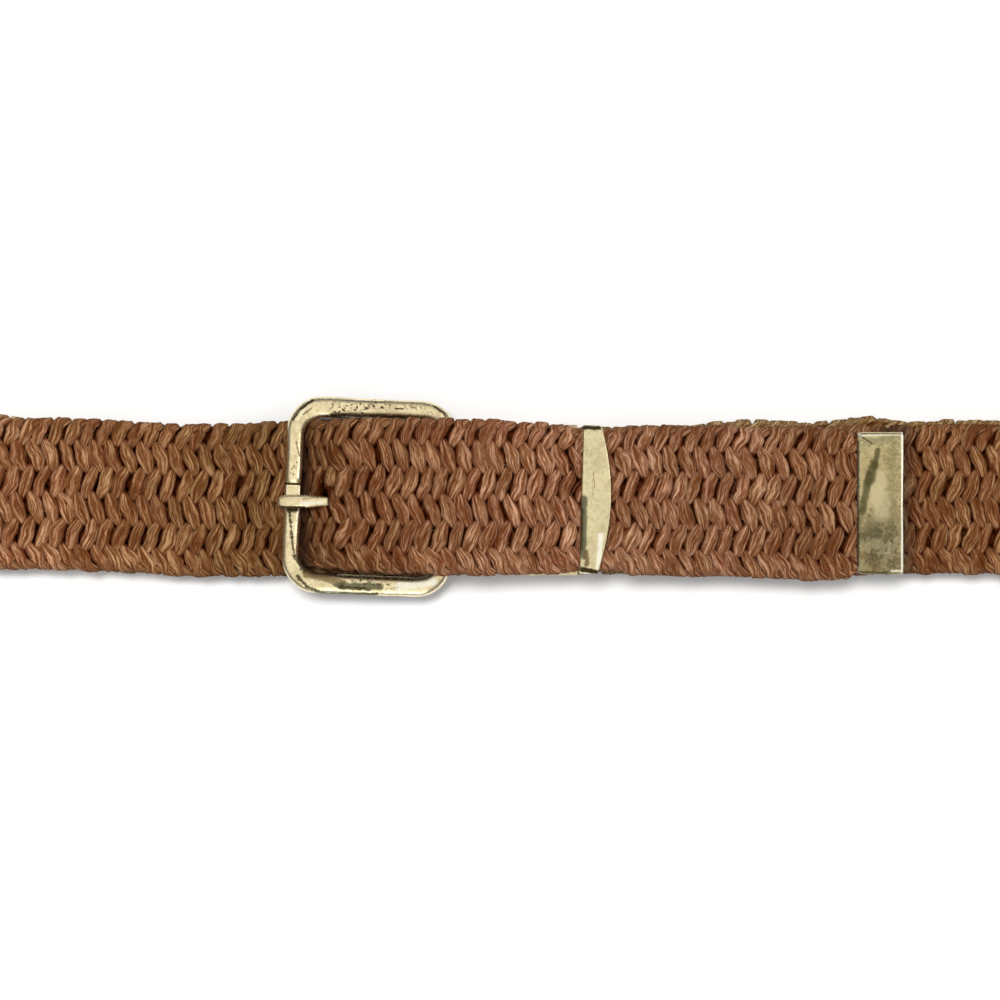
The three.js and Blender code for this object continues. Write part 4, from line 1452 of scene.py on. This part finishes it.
@dataclass
class Buckle:
    """The cast frame and its prong."""

    sizes: Sizes
    corner_radius: float = 7.2
    seat_width: float = 6.9
    seat_depth: float = 0.5
    seat_drift: float = -0.7
    drift: float = 0.8
    turn: float = math.radians(-2.4)
    heel_inset: float = 1.5
    prong_width: float = 3.4
    prong_thickness: float = 2.2
    prong_overhang: float = 1.3
    prong_eye_wall: float = 1.3
    prong_tip_drift: float = -0.45
    corner_stations: int = 19
    side_steps: int = 18
    heel_stations: int = 13
    eye_stations: int = 48
    prong_points: int = 28
    finish: BrassFinish = BrassFinish(
        "cast_brass",
        strokes=(
            Stroke((-53.7, 20.8), (-51.8, 23.6), 0.40, strength=0.9, wobble=0.7),
            Stroke((-51.8, 23.6), (-48.6, 25.9), 0.50, strength=0.95, wobble=0.7),
            Stroke((-51.0, 22.2), (-48.8, 23.9), 0.26, strength=0.7, wobble=0.4),
            # Painted highlight on the frame's top left corner.
            Stroke((-52.6, 20.8), (-50.6, 23.6), 0.35, Stain.BRIGHT_WEAR_AND_HIGHLIGHT, 0.6, 0.3),
            Stroke((-42.6, 24.2), (-35.6, 23.4), 2.30, strength=0.9, wobble=1.8, pitted=1.0),
            Stroke((-42.0, 22.2), (-36.4, 21.9), 0.90, strength=0.8, wobble=1.4, pitted=1.0),
            Stroke((-33.2, 25.2), (-29.4, 24.4), 1.50, strength=0.9, wobble=1.2, pitted=1.0),
            Stroke((-27.2, 23.8), (-25.2, 23.7), 0.30, strength=0.9, wobble=0.3),
            Stroke((-24.0, 24.4), (-17.0, 23.4), 1.40, Stain.BROWN, 0.6, 1.2, pitted=1.0),
            Stroke((-17.0, 24.3), (-14.6, 22.6), 0.42, strength=0.9, wobble=0.6),
            Stroke((-14.6, 22.6), (-13.6, 20.4), 0.40, strength=0.8, wobble=0.6),
            # Painted shade along the top bar's inner edge, in a brown tint.
            Stroke((-48.0, 19.9), (-16.0, 20.6), 0.40, Stain.BROWN, 0.55, 0.9, 0.7),
            # Painted highlights along the front bar's inner edge.
            Stroke((-50.5, 18.6), (-52.0, 5.6), 0.80, Stain.BRIGHT_WEAR_AND_HIGHLIGHT, 0.9, 0.5, 0.5),
            Stroke((-52.1, -3.0), (-52.2, -11.5), 0.80, Stain.BRIGHT_WEAR_AND_HIGHLIGHT, 0.9, 0.5, 0.5),
            Stroke((-52.0, 11.4), (-52.9, 15.2), 0.24, strength=0.7, wobble=0.5),
            Stroke((-54.2, 6.2), (-52.8, 9.8), 0.80, strength=0.75, wobble=1.4, pitted=1.0),
            Stroke((-55.8, 4.25), (-51.4, 4.05), 0.42, strength=1.0, wobble=0.3),
            Stroke((-54.6, -2.8), (-54.0, -9.8), 0.50, strength=0.85, wobble=1.6, grain=1.4),
            Stroke((-54.0, -9.8), (-53.2, -14.6), 0.42, strength=0.8, wobble=1.4, grain=1.4),
            Stroke((-53.4, -14.6), (-50.8, -18.4), 0.70, strength=0.8, wobble=1.8, grain=1.2),
            Stroke((-50.4, -19.4), (-41.0, -21.4), 1.20, Stain.BROWN, 0.75, 1.6, 0.5),
            Stroke((-52.6, -19.8), (-50.0, -22.6), 0.60, strength=0.85, wobble=1.2),
            Stroke((-50.0, -22.6), (-45.6, -24.4), 0.60, Stain.GREEN, 0.9, 1.0),
            Stroke((-45.6, -24.4), (-32.0, -24.5), 0.55, Stain.GREEN, 0.9, 0.9),
            Stroke((-43.0, -22.0), (-31.0, -22.6), 1.00, Stain.GREEN, 0.85, 1.6, 0.5),
            Stroke((-41.6, -22.7), (-34.0, -23.2), 0.70, strength=0.85, wobble=1.2, grain=0.8),
            Stroke((-38.0, -21.0), (-27.0, -22.6), 1.20, strength=0.8, wobble=1.4, pitted=1.0),
            # Painted highlight on the bottom bar.
            Stroke((-26.0, -22.4), (-17.6, -21.2), 1.80, Stain.BRIGHT_WEAR_AND_HIGHLIGHT, 0.85, 1.0, 0.5),
        ),
    )
    prong_finish: BrassFinish = BrassFinish(
        "prong_brass",
        clouds=0.5,
        specks=0.5,
        gloss=0.22,
        strokes=(
            # Painted shade along the prong's lower side.
            Stroke((-57.0, -1.9), (-50.8, -2.0), 0.60, strength=0.95, wobble=0.4),
            Stroke((-51.0, 0.2), (-46.0, 0.9), 0.40, Stain.BROWN, 0.5, 1.0),
            # Painted highlight on the prong's upper facet.
            Stroke((-51.6, -0.9), (-46.2, -0.7), 0.60, Stain.BRIGHT_WEAR_AND_HIGHLIGHT, 0.7, 0.5),
        ),
    )

    def _outline(self) -> Array:
        """The smooth D section of a cast bar, as rows of across and up from -1 to 1."""
        angle = np.linspace(0.0, math.pi, 25)
        over = np.column_stack([fuller(np.cos(angle), 0.82), 1.3 * np.sin(angle) ** 0.86 - 0.3])
        under = [(-1.0, -0.6), (-0.94, -0.86), (-0.80, -1.0), (0.80, -1.0), (0.94, -0.86), (1.0, -0.6)]
        return np.concatenate([over, under])

    def _stations(self) -> Array:
        """Walk round the frame.

        Returns:
            Rows of x, y, angle, width, thickness, roundness and whether the prong's seat is there.
        """
        s = self.sizes
        left = s.front_bar_x - s.buckle_x
        right = s.heel_bar_x - s.buckle_x
        top = s.strap_width / 2 + s.buckle_side_gap + s.side_bar_width / 2
        r = self.corner_radius
        front, side, heel = s.front_bar_width, s.side_bar_width, s.heel_bar_diameter
        middling = (front + side) / 2
        to_side = np.array([front, middling, middling + 0.3, side, side])
        to_heel = np.array([side, side, side - 0.4, side - 1.0, side - 1.6])
        walk: list[tuple[float, ...]] = []

        def corner(cx: float, cy: float, start: float, widths: Array) -> None:
            """Add the stations of one corner, turning clockwise from the start angle."""
            for share in np.linspace(0.0, 1.0, self.corner_stations):
                angle = start - 0.5 * math.pi * share
                width = float(np.interp(share * 4, np.arange(5), widths))
                x, y = cx + math.cos(angle) * r, cy + math.sin(angle) * r
                walk.append((x, y, angle, width, s.bar_thickness, 0.0, 0.0))

        def side_bar(start: float, end: float, y: float, angle: float) -> None:
            """Add the stations strictly between the two ends of a side bar."""
            for share in np.linspace(0.0, 1.0, self.side_steps + 1)[1:-1]:
                walk.append((start + (end - start) * share, y, angle, side, s.bar_thickness, 0.0, 0.0))

        def front_bar(ys: Array, seat: float) -> None:
            """Add stations of the front bar, which has the prong's seat where seat is 1."""
            walk.extend((left, y, -math.pi, front, s.bar_thickness, 0.0, seat) for y in ys)

        quarter = math.pi / 2
        corner(left + r, top - r, math.pi, to_side)
        side_bar(left + r, right - r, top, quarter)
        corner(right - r, top - r, quarter, to_heel)
        for share in np.linspace(0.0, 1.0, self.heel_stations):
            y = (top - r - self.heel_inset) * (1.0 - 2.0 * share)
            walk.append((right, y, 0.0, heel, heel, 1.0, 0.0))
        corner(right - r, r - top, 0.0, to_heel[::-1])
        side_bar(right - r, left + r, -top, -quarter)
        corner(left + r, r - top, -quarter, to_side[::-1])
        low = self.seat_drift - self.seat_width / 2
        high = self.seat_drift + self.seat_width / 2
        fall = 0.12
        front_bar(np.linspace(r - top, low - fall, 9)[1:], 0.0)
        front_bar(np.linspace(low + fall, high - fall, 7), 1.0)
        front_bar(np.linspace(high + fall, top - r, 9)[:-1], 0.0)
        return np.array(walk)

    def frame_skin(self) -> Skin:
        """Make the frame, with the seat for the prong worn into its front bar.

        Returns:
            Its skin.
        """
        s = self.sizes
        outline = self._outline()
        stations = self._stations()
        x, y, angle, width, thickness, round_share, seat = stations.T
        size = np.linalg.norm(outline, axis=1, keepdims=True)
        ball = outline / size
        section = outline[None] + (ball - outline)[None] * round_share[:, None, None]
        step = np.hypot(np.diff(x, append=x[:1]), np.diff(y, append=y[:1]))
        walked = np.concatenate([[0.0], np.cumsum(step)])
        phase = FULL_TURN * walked[:-1] / walked[-1]
        around = np.arctan2(outline[:, 1], outline[:, 0])
        uneven = (
            0.016 * np.sin(5 * phase[:, None] + 2 * around[None])
            + 0.014 * np.sin(11 * phase[:, None] - around[None] + 1.3)
            + 0.010 * np.sin(23 * phase[:, None] + 3 * around[None] + 0.4)
        )
        section = section * (1.0 + uneven[..., None])
        across = section[..., 0] * width[:, None] / 2
        up = section[..., 1] * thickness[:, None] / 2
        floor = s.bar_thickness / 2 - self.seat_depth
        up = np.where(seat[:, None] > 0.5, np.minimum(up, floor), up)
        px = x[:, None] + across * np.cos(angle)[:, None]
        py = y[:, None] + across * np.sin(angle)[:, None]
        grid = np.stack([px, py, up], axis=-1)
        grid[..., 0] += s.buckle_x - s.heel_bar_x
        tip = math.asin((s.front_bar_height - s.clamp_height) / s.frame_reach)
        x, z = turned(grid[..., 0], grid[..., 2], -tip)
        x, y = turned(x + s.heel_bar_x - s.buckle_x, grid[..., 1], self.turn)
        grid = np.stack([x + s.buckle_x, y + self.drift, z + s.clamp_height], axis=-1)

        # The edge mask marks rubbed edges, which the finish also brightens as a painted highlight.
        edge = np.exp(-(((np.abs(outline[:, 0]) - 0.78) / 0.16) ** 2)) * (outline[:, 1] > 0.3)
        sunk = smoothstep(0.2, -0.7, outline[:, 1]) * 0.9
        wear = np.zeros((len(stations) + 1, len(outline) + 1, 2))
        wear[..., 0] = np.append(edge, edge[0])[None]
        wear[..., 1] = np.append(sunk, sunk[0])[None]
        skin = Skin()
        skin.add_grid(grid, {"wear": wear}, wrap_rows=True)
        return skin

    def prong_skin(self) -> Skin:
        """Make the prong: an eye on the heel bar and a bar that comes up through the weave.

        Returns:
            Its skin.
        """
        s = self.sizes
        under = s.front_bar_height + s.bar_thickness / 2 - self.seat_depth + s.clearance + s.bar_slope / 2
        top = under + self.prong_thickness / 2
        tip_x = s.front_bar_x - s.front_bar_width / 2 - self.prong_overhang
        fall = top - s.clamp_height
        bore = s.heel_bar_diameter / 2 + s.pin_clearance
        rows = np.array(
            [
                (s.heel_bar_x - bore - self.prong_eye_wall / 2, s.clamp_height + 0.08 * fall),
                (s.buckle_x + 2, s.clamp_height + 0.3 * fall),
                (s.climb_end_x - 1, s.clamp_height + 0.46 * fall),
                (s.climb_start_x + 5, s.clamp_height + 0.74 * fall),
                (s.climb_start_x, s.clamp_height + 0.96 * fall),
                (s.front_bar_x, top),
                (tip_x + 1.6, top - 0.04),
                (tip_x + 0.75, top - 0.30),
                (tip_x + 0.42, top - 0.95),
                (tip_x + 0.40, top - 1.75),
            ]
        )
        line = rounded(rows, 6, False)
        heading = unit(np.gradient(line, axis=0))
        normal = np.column_stack([heading[:, 1], -heading[:, 0]])
        share = (s.heel_bar_x - line[:, 0]) / (s.heel_bar_x - tip_x)
        drift = self.prong_tip_drift * share
        last = np.linspace(0.0, 1.0, len(line))
        at_seat = smoothstep(s.climb_start_x + 5.0, s.climb_start_x, line[:, 0])
        narrow = 0.86 + 0.16 * at_seat - 0.52 * smoothstep(0.64, 0.96, last)
        thin = 1.0 - 0.42 * smoothstep(0.80, 1.0, last)
        angle = FULL_TURN * (np.arange(self.prong_points) + 0.5) / self.prong_points
        blunt = 0.62 + 0.42 * smoothstep(0.74, 0.90, last)[:, None]
        cosine = fuller(np.cos(angle), blunt)
        sine = fuller(np.sin(angle), blunt + 0.08)
        dent = 1.0 + 0.03 * np.sin(13.0 * last[:, None] + 2.0 * angle[None])
        across = narrow[:, None] * cosine * dent * self.prong_width / 2
        up = thin[:, None] * sine * dent * self.prong_thickness / 2
        grid = np.stack(
            [
                line[:, 0, None] + normal[:, 0, None] * up,
                drift[:, None] + across,
                line[:, 1, None] + normal[:, 1, None] * up,
            ],
            axis=-1,
        )
        skin = Skin()
        wear = np.zeros((len(line), self.prong_points + 1, 2))
        # The edge mask marks rubbed edges, which the finish also brightens as a painted highlight.
        edge = np.exp(-(((np.abs(cosine) - 0.85) / 0.15) ** 2))
        wear[..., 0] = np.hstack([edge, edge[:, :1]]) * 0.8
        skin.add_grid(grid, {"wear": wear}, capped=True)
        eye = self._eye(bore, bore + self.prong_eye_wall)
        skin.add_grid(eye, {"wear": np.zeros((len(eye) + 1, eye.shape[1] + 1, 2))}, wrap_rows=True)
        return skin

    def _eye(self, bore: float, reach: float) -> Array:
        """Make the prong's eye round the heel bar.

        Args:
            bore: Its inner radius.
            reach: Its outer radius.

        Returns:
            Its points, ring by ring.
        """
        half = self.prong_width / 2
        inner, outer = 0.25, 0.35
        corners = [
            (-half, bore + inner),
            (-half + inner, bore),
            (half - inner, bore),
            (half, bore + inner),
            (half, reach - outer),
            (half - outer, reach),
            (-half + outer, reach),
            (-half, reach - outer),
        ]
        ring = rounded(np.array(corners), 2, True, 0.6)
        angle = FULL_TURN * np.arange(self.eye_stations)[:, None] / self.eye_stations
        y, away = ring.T
        x = self.sizes.heel_bar_x + np.cos(angle) * away
        z = self.sizes.clamp_height + np.sin(angle) * away
        return np.stack([x, np.broadcast_to(y, x.shape), z], axis=-1)

    def build(self, groups: Groups) -> None:
        """Make the frame and the prong, and dress them.

        Args:
            groups: The shared node groups.
        """
        cast = self.frame_skin().piece("buckle_cast_frame")
        enlist(cast, "buckle_frame", self.finish.material(groups))
        prong = self.prong_skin().piece("buckle_prong")
        enlist(prong, "prong", self.prong_finish.material(groups))


def band_outline(half: float, low: float, high: float, crown: float, radius: float) -> Array:
    """Draw a rounded oblong, its top arched by crown.

    Args:
        half: Half of its width.
        low: Height of its underside.
        high: Height of its top at the sides.
        crown: How much higher the top is in the middle.
        radius: Radius of its corners.

    Returns:
        Points of across and up, where point k lies over or under point -1-k.
    """
    bend = np.linspace(0.5 * math.pi, 0.0, 6)
    corner = half - radius + radius * np.sin(bend)
    across = np.concatenate([corner, np.linspace(half - radius, radius - half, 38)[1:-1], -corner[::-1]])
    reach = np.clip(np.abs(across) - (half - radius), 0.0, radius)
    cut = radius - np.sqrt(np.maximum(radius**2 - reach**2, 0.0))
    top = high + crown * (1.0 - (across / half) ** 2) - cut
    bottom = low + cut
    return np.concatenate([np.column_stack([across, top]), np.column_stack([across, bottom])[::-1]])


@dataclass
class EndClamp:
    """The sleeve on the strap's fixed end, hooked round the heel bar. Its solid keeps its shape."""

    node: str = "end_clamp"
    edge: float = 0.00022
    finish: BrassFinish = BrassFinish(
        "clamp_brass",
        clouds=0.6,
        specks=0.8,
        gloss=0.28,
        strokes=(Stroke((-16.0, 0.5), (22.0, 0.5), 22.0, strength=1.0, wobble=1.0),),
    )

    def build(self, groups: Groups) -> None:
        """Round the sheet's edges and dress it.

        Args:
            groups: The shared node groups.
        """
        sheet = bpy.data.objects[self.node]
        bevel = sheet.modifiers.new("rounded_sheet_edges", "BEVEL")
        bevel.width = self.edge
        bevel.segments = 2
        bevel.limit_method = "ANGLE"
        bevel.angle_limit = math.radians(35.0)
        material = self.finish.material(groups, has_wear=False)
        sheet.data.materials.clear()
        sheet.data.materials.append(material)
        LOG.info("%s keeps its solid, with rounded edges", self.node)


@dataclass
class Keeper:
    """The sheet loop round both layers, its right edge bowed outwards."""

    sizes: Sizes
    crown: float = 0.6
    corner: float = 1.3
    finish: BrassFinish = BrassFinish(
        "keeper_brass",
        clean=(0.790, 0.680, 0.400),
        dull=(0.480, 0.390, 0.205),
        clouds=0.5,
        specks=0.7,
        brush=(5.0, 0.25, 1.0),
        strokes=(
            Stroke((21.6, 0.5), (21.4, -14.5), 1.20, Stain.GREEN, 0.85, 1.0, 0.6),
            Stroke((21.1, -2.5), (20.9, -12.5), 0.60, strength=0.7, wobble=0.6),
            Stroke((22.2, -13.4), (22.4, -16.6), 0.9, Stain.BROWN, 0.85, 1.2, 1.0),
            # Painted highlight along the keeper's lower right edge.
            Stroke((25.9, -9.0), (25.3, -17.8), 0.9, Stain.BRIGHT_WEAR_AND_HIGHLIGHT, 0.9, 0.8, 0.6),
            Stroke((21.0, 18.7), (25.4, 18.5), 0.8, strength=0.95, wobble=0.8),
            Stroke((21.0, -17.8), (25.2, -18.6), 0.9, strength=1.0, wobble=0.9),
            Stroke((24.0, 7.0), (24.3, 3.0), 0.2, Stain.BROWN, 0.6, 0.5, 2.0),
        ),
    )

    def skin(self) -> Skin:
        """Make the loop.

        Returns:
            Its skin.
        """
        s = self.sizes
        half = s.keeper_width / 2
        low = s.clamp_height - s.half_thickness - s.clearance
        high = s.over_clamp_height + s.half_thickness + s.clearance
        sheet = s.keeper_sheet
        outer = band_outline(half, low - sheet, high + sheet, self.crown, self.corner)
        inner = band_outline(half - sheet, low, high, self.crown, self.corner - sheet + 0.1)
        shares = np.linspace(0.0, 1.0, 9)[1:-1]
        profile = ((0.30, 1.0), (0.10, 0.88), (0.0, 0.62), (0.0, 0.38), (0.10, 0.12), (0.30, 0.0))
        left = [(0.0, inset, depth) for inset, depth in profile]
        right = [(1.0, -inset, depth) for _, inset, depth in reversed(left)]
        outside = [(share, 0.0, 0.0) for share in shares]
        inside = [(share, 0.0, 1.0) for share in reversed(shares)]
        loop = np.array([*left, *outside, *right, *inside])
        share, inset, depth = loop.T
        points = outer[:, None, :] + (inner - outer)[:, None, :] * depth[None, :, None]
        length = s.keeper_side_length + s.keeper_bow
        end = s.keeper_side_length + s.keeper_bow * (1.0 - np.clip(points[..., 0] / half, -1.0, 1.0) ** 2)
        x = share[None] * end + inset[None] - length / 2
        x, y = turned(x, points[..., 0], s.keeper_turn)
        grid = np.stack([x + s.keeper_start_x + length / 2, y + s.keeper_drift, points[..., 1]], axis=-1)
        from_rim = np.minimum(share * 6.0 + inset, (1.0 - share) * 6.0 - inset)
        # Rubbed rim, which the finish also brightens as a painted highlight.
        near_rim = np.exp(-from_rim / 0.45) * (depth < 0.5)
        wear = np.zeros((len(outer) + 1, len(loop) + 1, 2))
        wear[..., 0] = np.append(near_rim, near_rim[0])[None] * 0.8
        wear[..., 1] = np.append(depth, depth[0])[None] * 0.8
        skin = Skin()
        skin.add_grid(grid, {"wear": wear}, wrap_rows=True)
        return skin

    def build(self, groups: Groups) -> None:
        """Make the keeper and dress it.

        Args:
            groups: The shared node groups.
        """
        made = self.skin().piece("keeper_loop")
        enlist(made, "keeper", self.finish.material(groups))


@dataclass
class Tip:
    """The sheet cap on the free end, with a fold along its closed edge."""

    sizes: Sizes
    corner: float = 1.6
    edge: float = 0.9
    finish: BrassFinish = BrassFinish(
        "tip_brass",
        clean=(0.580, 0.475, 0.242),
        dull=(0.420, 0.338, 0.158),
        clouds=0.9,
        specks=0.8,
        gloss=0.30,
        strokes=(
            Stroke((98.5, -9.0), (98.5, -16.0), 8.5, Stain.DIRT, 0.60, 5.0, 0.4),
            Stroke((94.0, -9.8), (97.6, -8.2), 2.0, Stain.GREEN, 0.55, 4.0, 0.9),
            Stroke((93.6, -13.6), (97.0, -16.6), 2.2, Stain.BROWN, 0.45, 5.0, 0.8),
            Stroke((101.0, -9.0), (96.4, -14.6), 3.4, Stain.GREEN, 0.35, 16.0, 0.9),
            Stroke((94.6, -7.0), (101.5, -16.0), 5.0, Stain.TARNISH, 0.42, 24.0, 1.5),
            Stroke((101.4, 12.0), (101.0, -15.5), 2.0, Stain.TARNISH, 0.35, 12.0, 2.6),
            Stroke((94.4, 15.0), (102.0, 15.6), 1.6, Stain.GREEN, 0.35, 6.0, 1.2),
            Stroke((97.0, 5.6), (98.6, -3.0), 3.4, Stain.PALE, 0.6, 3.0, 0.4),
            Stroke((95.0, -11.6), (99.0, -12.2), 2.2, Stain.PALE, 0.35, 7.0, 0.9),
            Stroke((99.4, -15.4), (102.4, -11.0), 1.8, Stain.PALE, 0.35, 6.0, 1.1),
            Stroke((97.5, 12.9), (96.7, 8.6), 0.95, Stain.OLIVE, 0.85, 0.8, 0.6),
            Stroke((96.5, 9.2), (95.2, 4.8), 1.75, Stain.OLIVE, 0.85, 1.0, 0.6),
            Stroke((95.2, 6.4), (93.6, -2.8), 1.35, Stain.OLIVE, 0.85, 1.0, 0.6),
            Stroke((93.0, 16.5), (96.3, 14.4), 0.32, strength=0.7, wobble=0.5),
            Stroke((92.4, 15.0), (92.4, -17.0), 0.55, strength=0.75, wobble=0.7, grain=0.7),
            # Painted highlights along the tip's folded end and upper rim.
            Stroke((103.75, 17.0), (103.75, -18.6), 0.35, Stain.BRIGHT_WEAR_AND_HIGHLIGHT, 0.9, 0.1, 0.5),
            Stroke((92.8, 16.7), (103.5, 16.9), 0.40, Stain.BRIGHT_WEAR_AND_HIGHLIGHT, 0.7, 0.2, 0.5),
            Stroke((92.8, -18.6), (99.6, -18.8), 0.50, strength=0.7, wobble=0.6),
            # Painted highlight on the tip's lower rim.
            Stroke((101.0, -18.3), (103.5, -18.3), 0.40, Stain.BRIGHT_WEAR_AND_HIGHLIGHT, 0.7, 0.2, 0.5),
        ),
    )

    def skin(self) -> Skin:
        """Make the cap from the bottom of its hollow, round its open rim, to its closed end.

        Returns:
            Its skin.
        """
        s = self.sizes
        half = s.gripped(s.in_tip, s.tip_sheet) / 2
        sheet = s.tip_sheet
        low = s.tip_height - s.tip_outer_height / 2
        high = s.tip_height + s.tip_outer_height / 2
        outer = band_outline(half, low, high, 0.0, self.edge)
        inner = band_outline(half - sheet, low + sheet, high - sheet, 0.0, 0.3)
        middle = np.array([0.0, s.tip_height])
        rows: list[Array] = []
        wear_rows: list[tuple[float, float]] = []

        def ring(outline: Array, share: float, inset: float, swell: float, wear: float, sunk: float) -> None:
            """Add a ring at a share of the length from the rim, moved by inset, and swollen a little."""
            shape = outline + unit(outline - middle) * swell
            reach = np.clip(np.abs(outline[:, 0]) - (half - self.corner), 0.0, self.corner)
            cut = self.corner - np.sqrt(np.maximum(self.corner**2 - reach**2, 0.0))
            start = s.tip_start_x + cut
            x = start + (s.tip_x - start) * share + inset
            rows.append(np.column_stack([x, shape[:, 0] + s.tip_drift, shape[:, 1]]))
            wear_rows.append((wear, sunk))

        # Each ring's first wear value marks a rubbed edge, which the finish also brightens as a painted
        # highlight; the second marks tarnish in the hollow.
        ring(inner, 1.0, -sheet, 0.0, 0.0, 1.0)
        for share in (0.6, 0.3):
            ring(inner, share, 0.0, 0.0, 0.0, 1.0)
        ring(inner, 0.0, 0.25, 0.0, 0.3, 0.6)
        ring((inner + outer) / 2, 0.0, 0.0, -0.18, 1.0, 0.0)
        ring((inner + outer) / 2, 0.0, 0.0, 0.18, 1.0, 0.0)
        ring(outer, 0.0, 0.25, 0.0, 0.8, 0.0)
        for share in (0.12, 0.3, 0.5, 0.7, 0.84):
            ring(outer, share, 0.0, 0.0, 0.0, 0.0)
        ring(outer, 1.0, -1.05, 0.0, 0.0, 0.2)
        ring(outer, 1.0, -0.85, -0.07, 0.0, 0.7)
        ring(outer, 1.0, -0.62, 0.05, 0.7, 0.0)
        ring(outer, 1.0, -0.25, 0.05, 1.0, 0.0)
        ring(outer, 1.0, -0.06, -0.12, 1.0, 0.0)
        ring(outer, 1.0, 0.0, -0.35, 0.4, 0.0)
        grid = np.stack(rows)
        wear = np.array(wear_rows)[:, None, :] * np.ones((1, len(outer) + 1, 1))
        skin = Skin()
        skin.add_grid(grid, {"wear": wear}, capped=True)
        return skin

    def build(self, groups: Groups) -> None:
        """Make the tip and dress it.

        Args:
            groups: The shared node groups.
        """
        made = self.skin().piece("tip_cap")
        enlist(made, "tip", self.finish.material(groups))


@dataclass
class Studio:
    """The pale floor, the soft light and the camera."""

    camera_height: float = 0.600
    lens: float = 81.5
    key_from: tuple[float, float] = (-0.12, 0.21)
    key_distance: float = 1.6
    key_size: float = 0.36
    key_power: float = 25.0
    ceiling: tuple[tuple[float, float], ...] = ((0.0, 0.08), (0.55, 0.16), (0.86, 1.0))
    windows: tuple[tuple[float, float, float], ...] = ((0.80, 0.10, 0.59), (0.05, -0.77, 0.64))
    window_edge: tuple[float, float] = (0.955, 0.985)
    window_light: float = 2.4
    floor_tone: float = 0.70
    backdrop: float = 0.82

    def _sky(self) -> None:
        """Light the scene from a bright ceiling over dark walls, with two bright windows.

        The backdrop itself looks pale, also where a view meets it behind the floor.
        """
        world = bpy.data.worlds.new("studio_sky")
        bpy.context.scene.world = world
        world.use_nodes = True
        bench = Bench(world.node_tree)
        shade = world.node_tree.nodes["Background"]
        where = bench.add("ShaderNodeTexCoord").outputs["Generated"]
        height = bench.split(where)[2]
        low, middle, high = self.ceiling
        light = bench.ramp(height, low[0], middle[0], (low[1], middle[1]))
        light = bench.plus(light, bench.ramp(height, middle[0], high[0], (0.0, high[1] - middle[1])))
        for window in self.windows:
            facing = bench.vector("DOT_PRODUCT", where, window).outputs["Value"]
            light = bench.plus(light, bench.ramp(facing, *self.window_edge, (0.0, self.window_light)))
        seen = bench.add("ShaderNodeLightPath").outputs["Is Camera Ray"]
        light = bench.larger(light, bench.times(seen, self.backdrop))
        tone = bench.add("ShaderNodeCombineColor", None, Red=light, Green=light, Blue=light)
        bench.feed(shade.inputs["Color"], tone.outputs[0])

    def _key(self) -> None:
        """Hang the main soft light above the belt's upper edge."""
        light = bpy.data.lights.new("key_softbox", "AREA")
        light.shape = "RECTANGLE"
        light.size = 1.4 * self.key_size
        light.size_y = self.key_size
        light.energy = self.key_power
        light.color = (1.0, 0.985, 0.96)
        made = bpy.data.objects.new("key_softbox", light)
        aside, ahead = (share * self.key_distance for share in self.key_from)
        made.location = (aside, ahead, math.sqrt(self.key_distance**2 - aside**2 - ahead**2))
        made.rotation_euler = made.location.to_track_quat("Z", "Y").to_euler()
        made.visible_glossy = False
        bpy.context.scene.collection.objects.link(made)

    def _floor(self) -> None:
        """Lay the pale floor just under the belt."""
        bpy.ops.mesh.primitive_plane_add(size=6.0, location=(0.0, 0.0, -0.0001))
        floor = bpy.context.object
        floor.name = "studio_floor"
        material, bench, shader = blank_material("pale_floor")
        grain = bench.noise(bench.add("ShaderNodeTexCoord").outputs["Object"], 12.0, 3.0)
        tone = self.floor_tone
        pale = bench.mix(grain, (tone, tone, tone), (tone - 0.01, tone - 0.01, tone - 0.012))
        bench.feed(shader.inputs["Base Color"], pale)
        shader.inputs["Roughness"].default_value = 0.9
        shader.inputs["Specular IOR Level"].default_value = 0.1
        floor.data.materials.append(material)

    def _camera(self) -> None:
        """Look straight down, as in the photograph."""
        camera = bpy.data.cameras.new("view_from_above")
        camera.lens = self.lens
        camera.clip_start = 0.01
        camera.clip_end = 20.0
        made = bpy.data.objects.new("view_from_above", camera)
        made.location = (0.0, -LINE_DRIFT * MM, self.camera_height)
        bpy.context.scene.collection.objects.link(made)
        bpy.context.scene.camera = made

    def build(self) -> None:
        """Set up the light, the floor and the camera."""
        bpy.context.scene.view_settings.view_transform = "Standard"
        bpy.context.scene.view_settings.look = "None"
        self._sky()
        self._key()
        self._floor()
        self._camera()


def main() -> None:
    """Build the belt's sub-assemblies in order, then the studio round them."""
    logging.basicConfig(level=logging.INFO, format="%(name)s: %(message)s")
    groups = Groups()
    route = StrapRoute(SIZES)
    BraidedStrap(route).build(groups)
    LooseFibres(route).build(groups)
    Buckle(SIZES).build(groups)
    EndClamp().build(groups)
    Keeper(SIZES).build(groups)
    Tip(SIZES).build(groups)
    Studio().build()


if __name__ == "__main__":
    main()
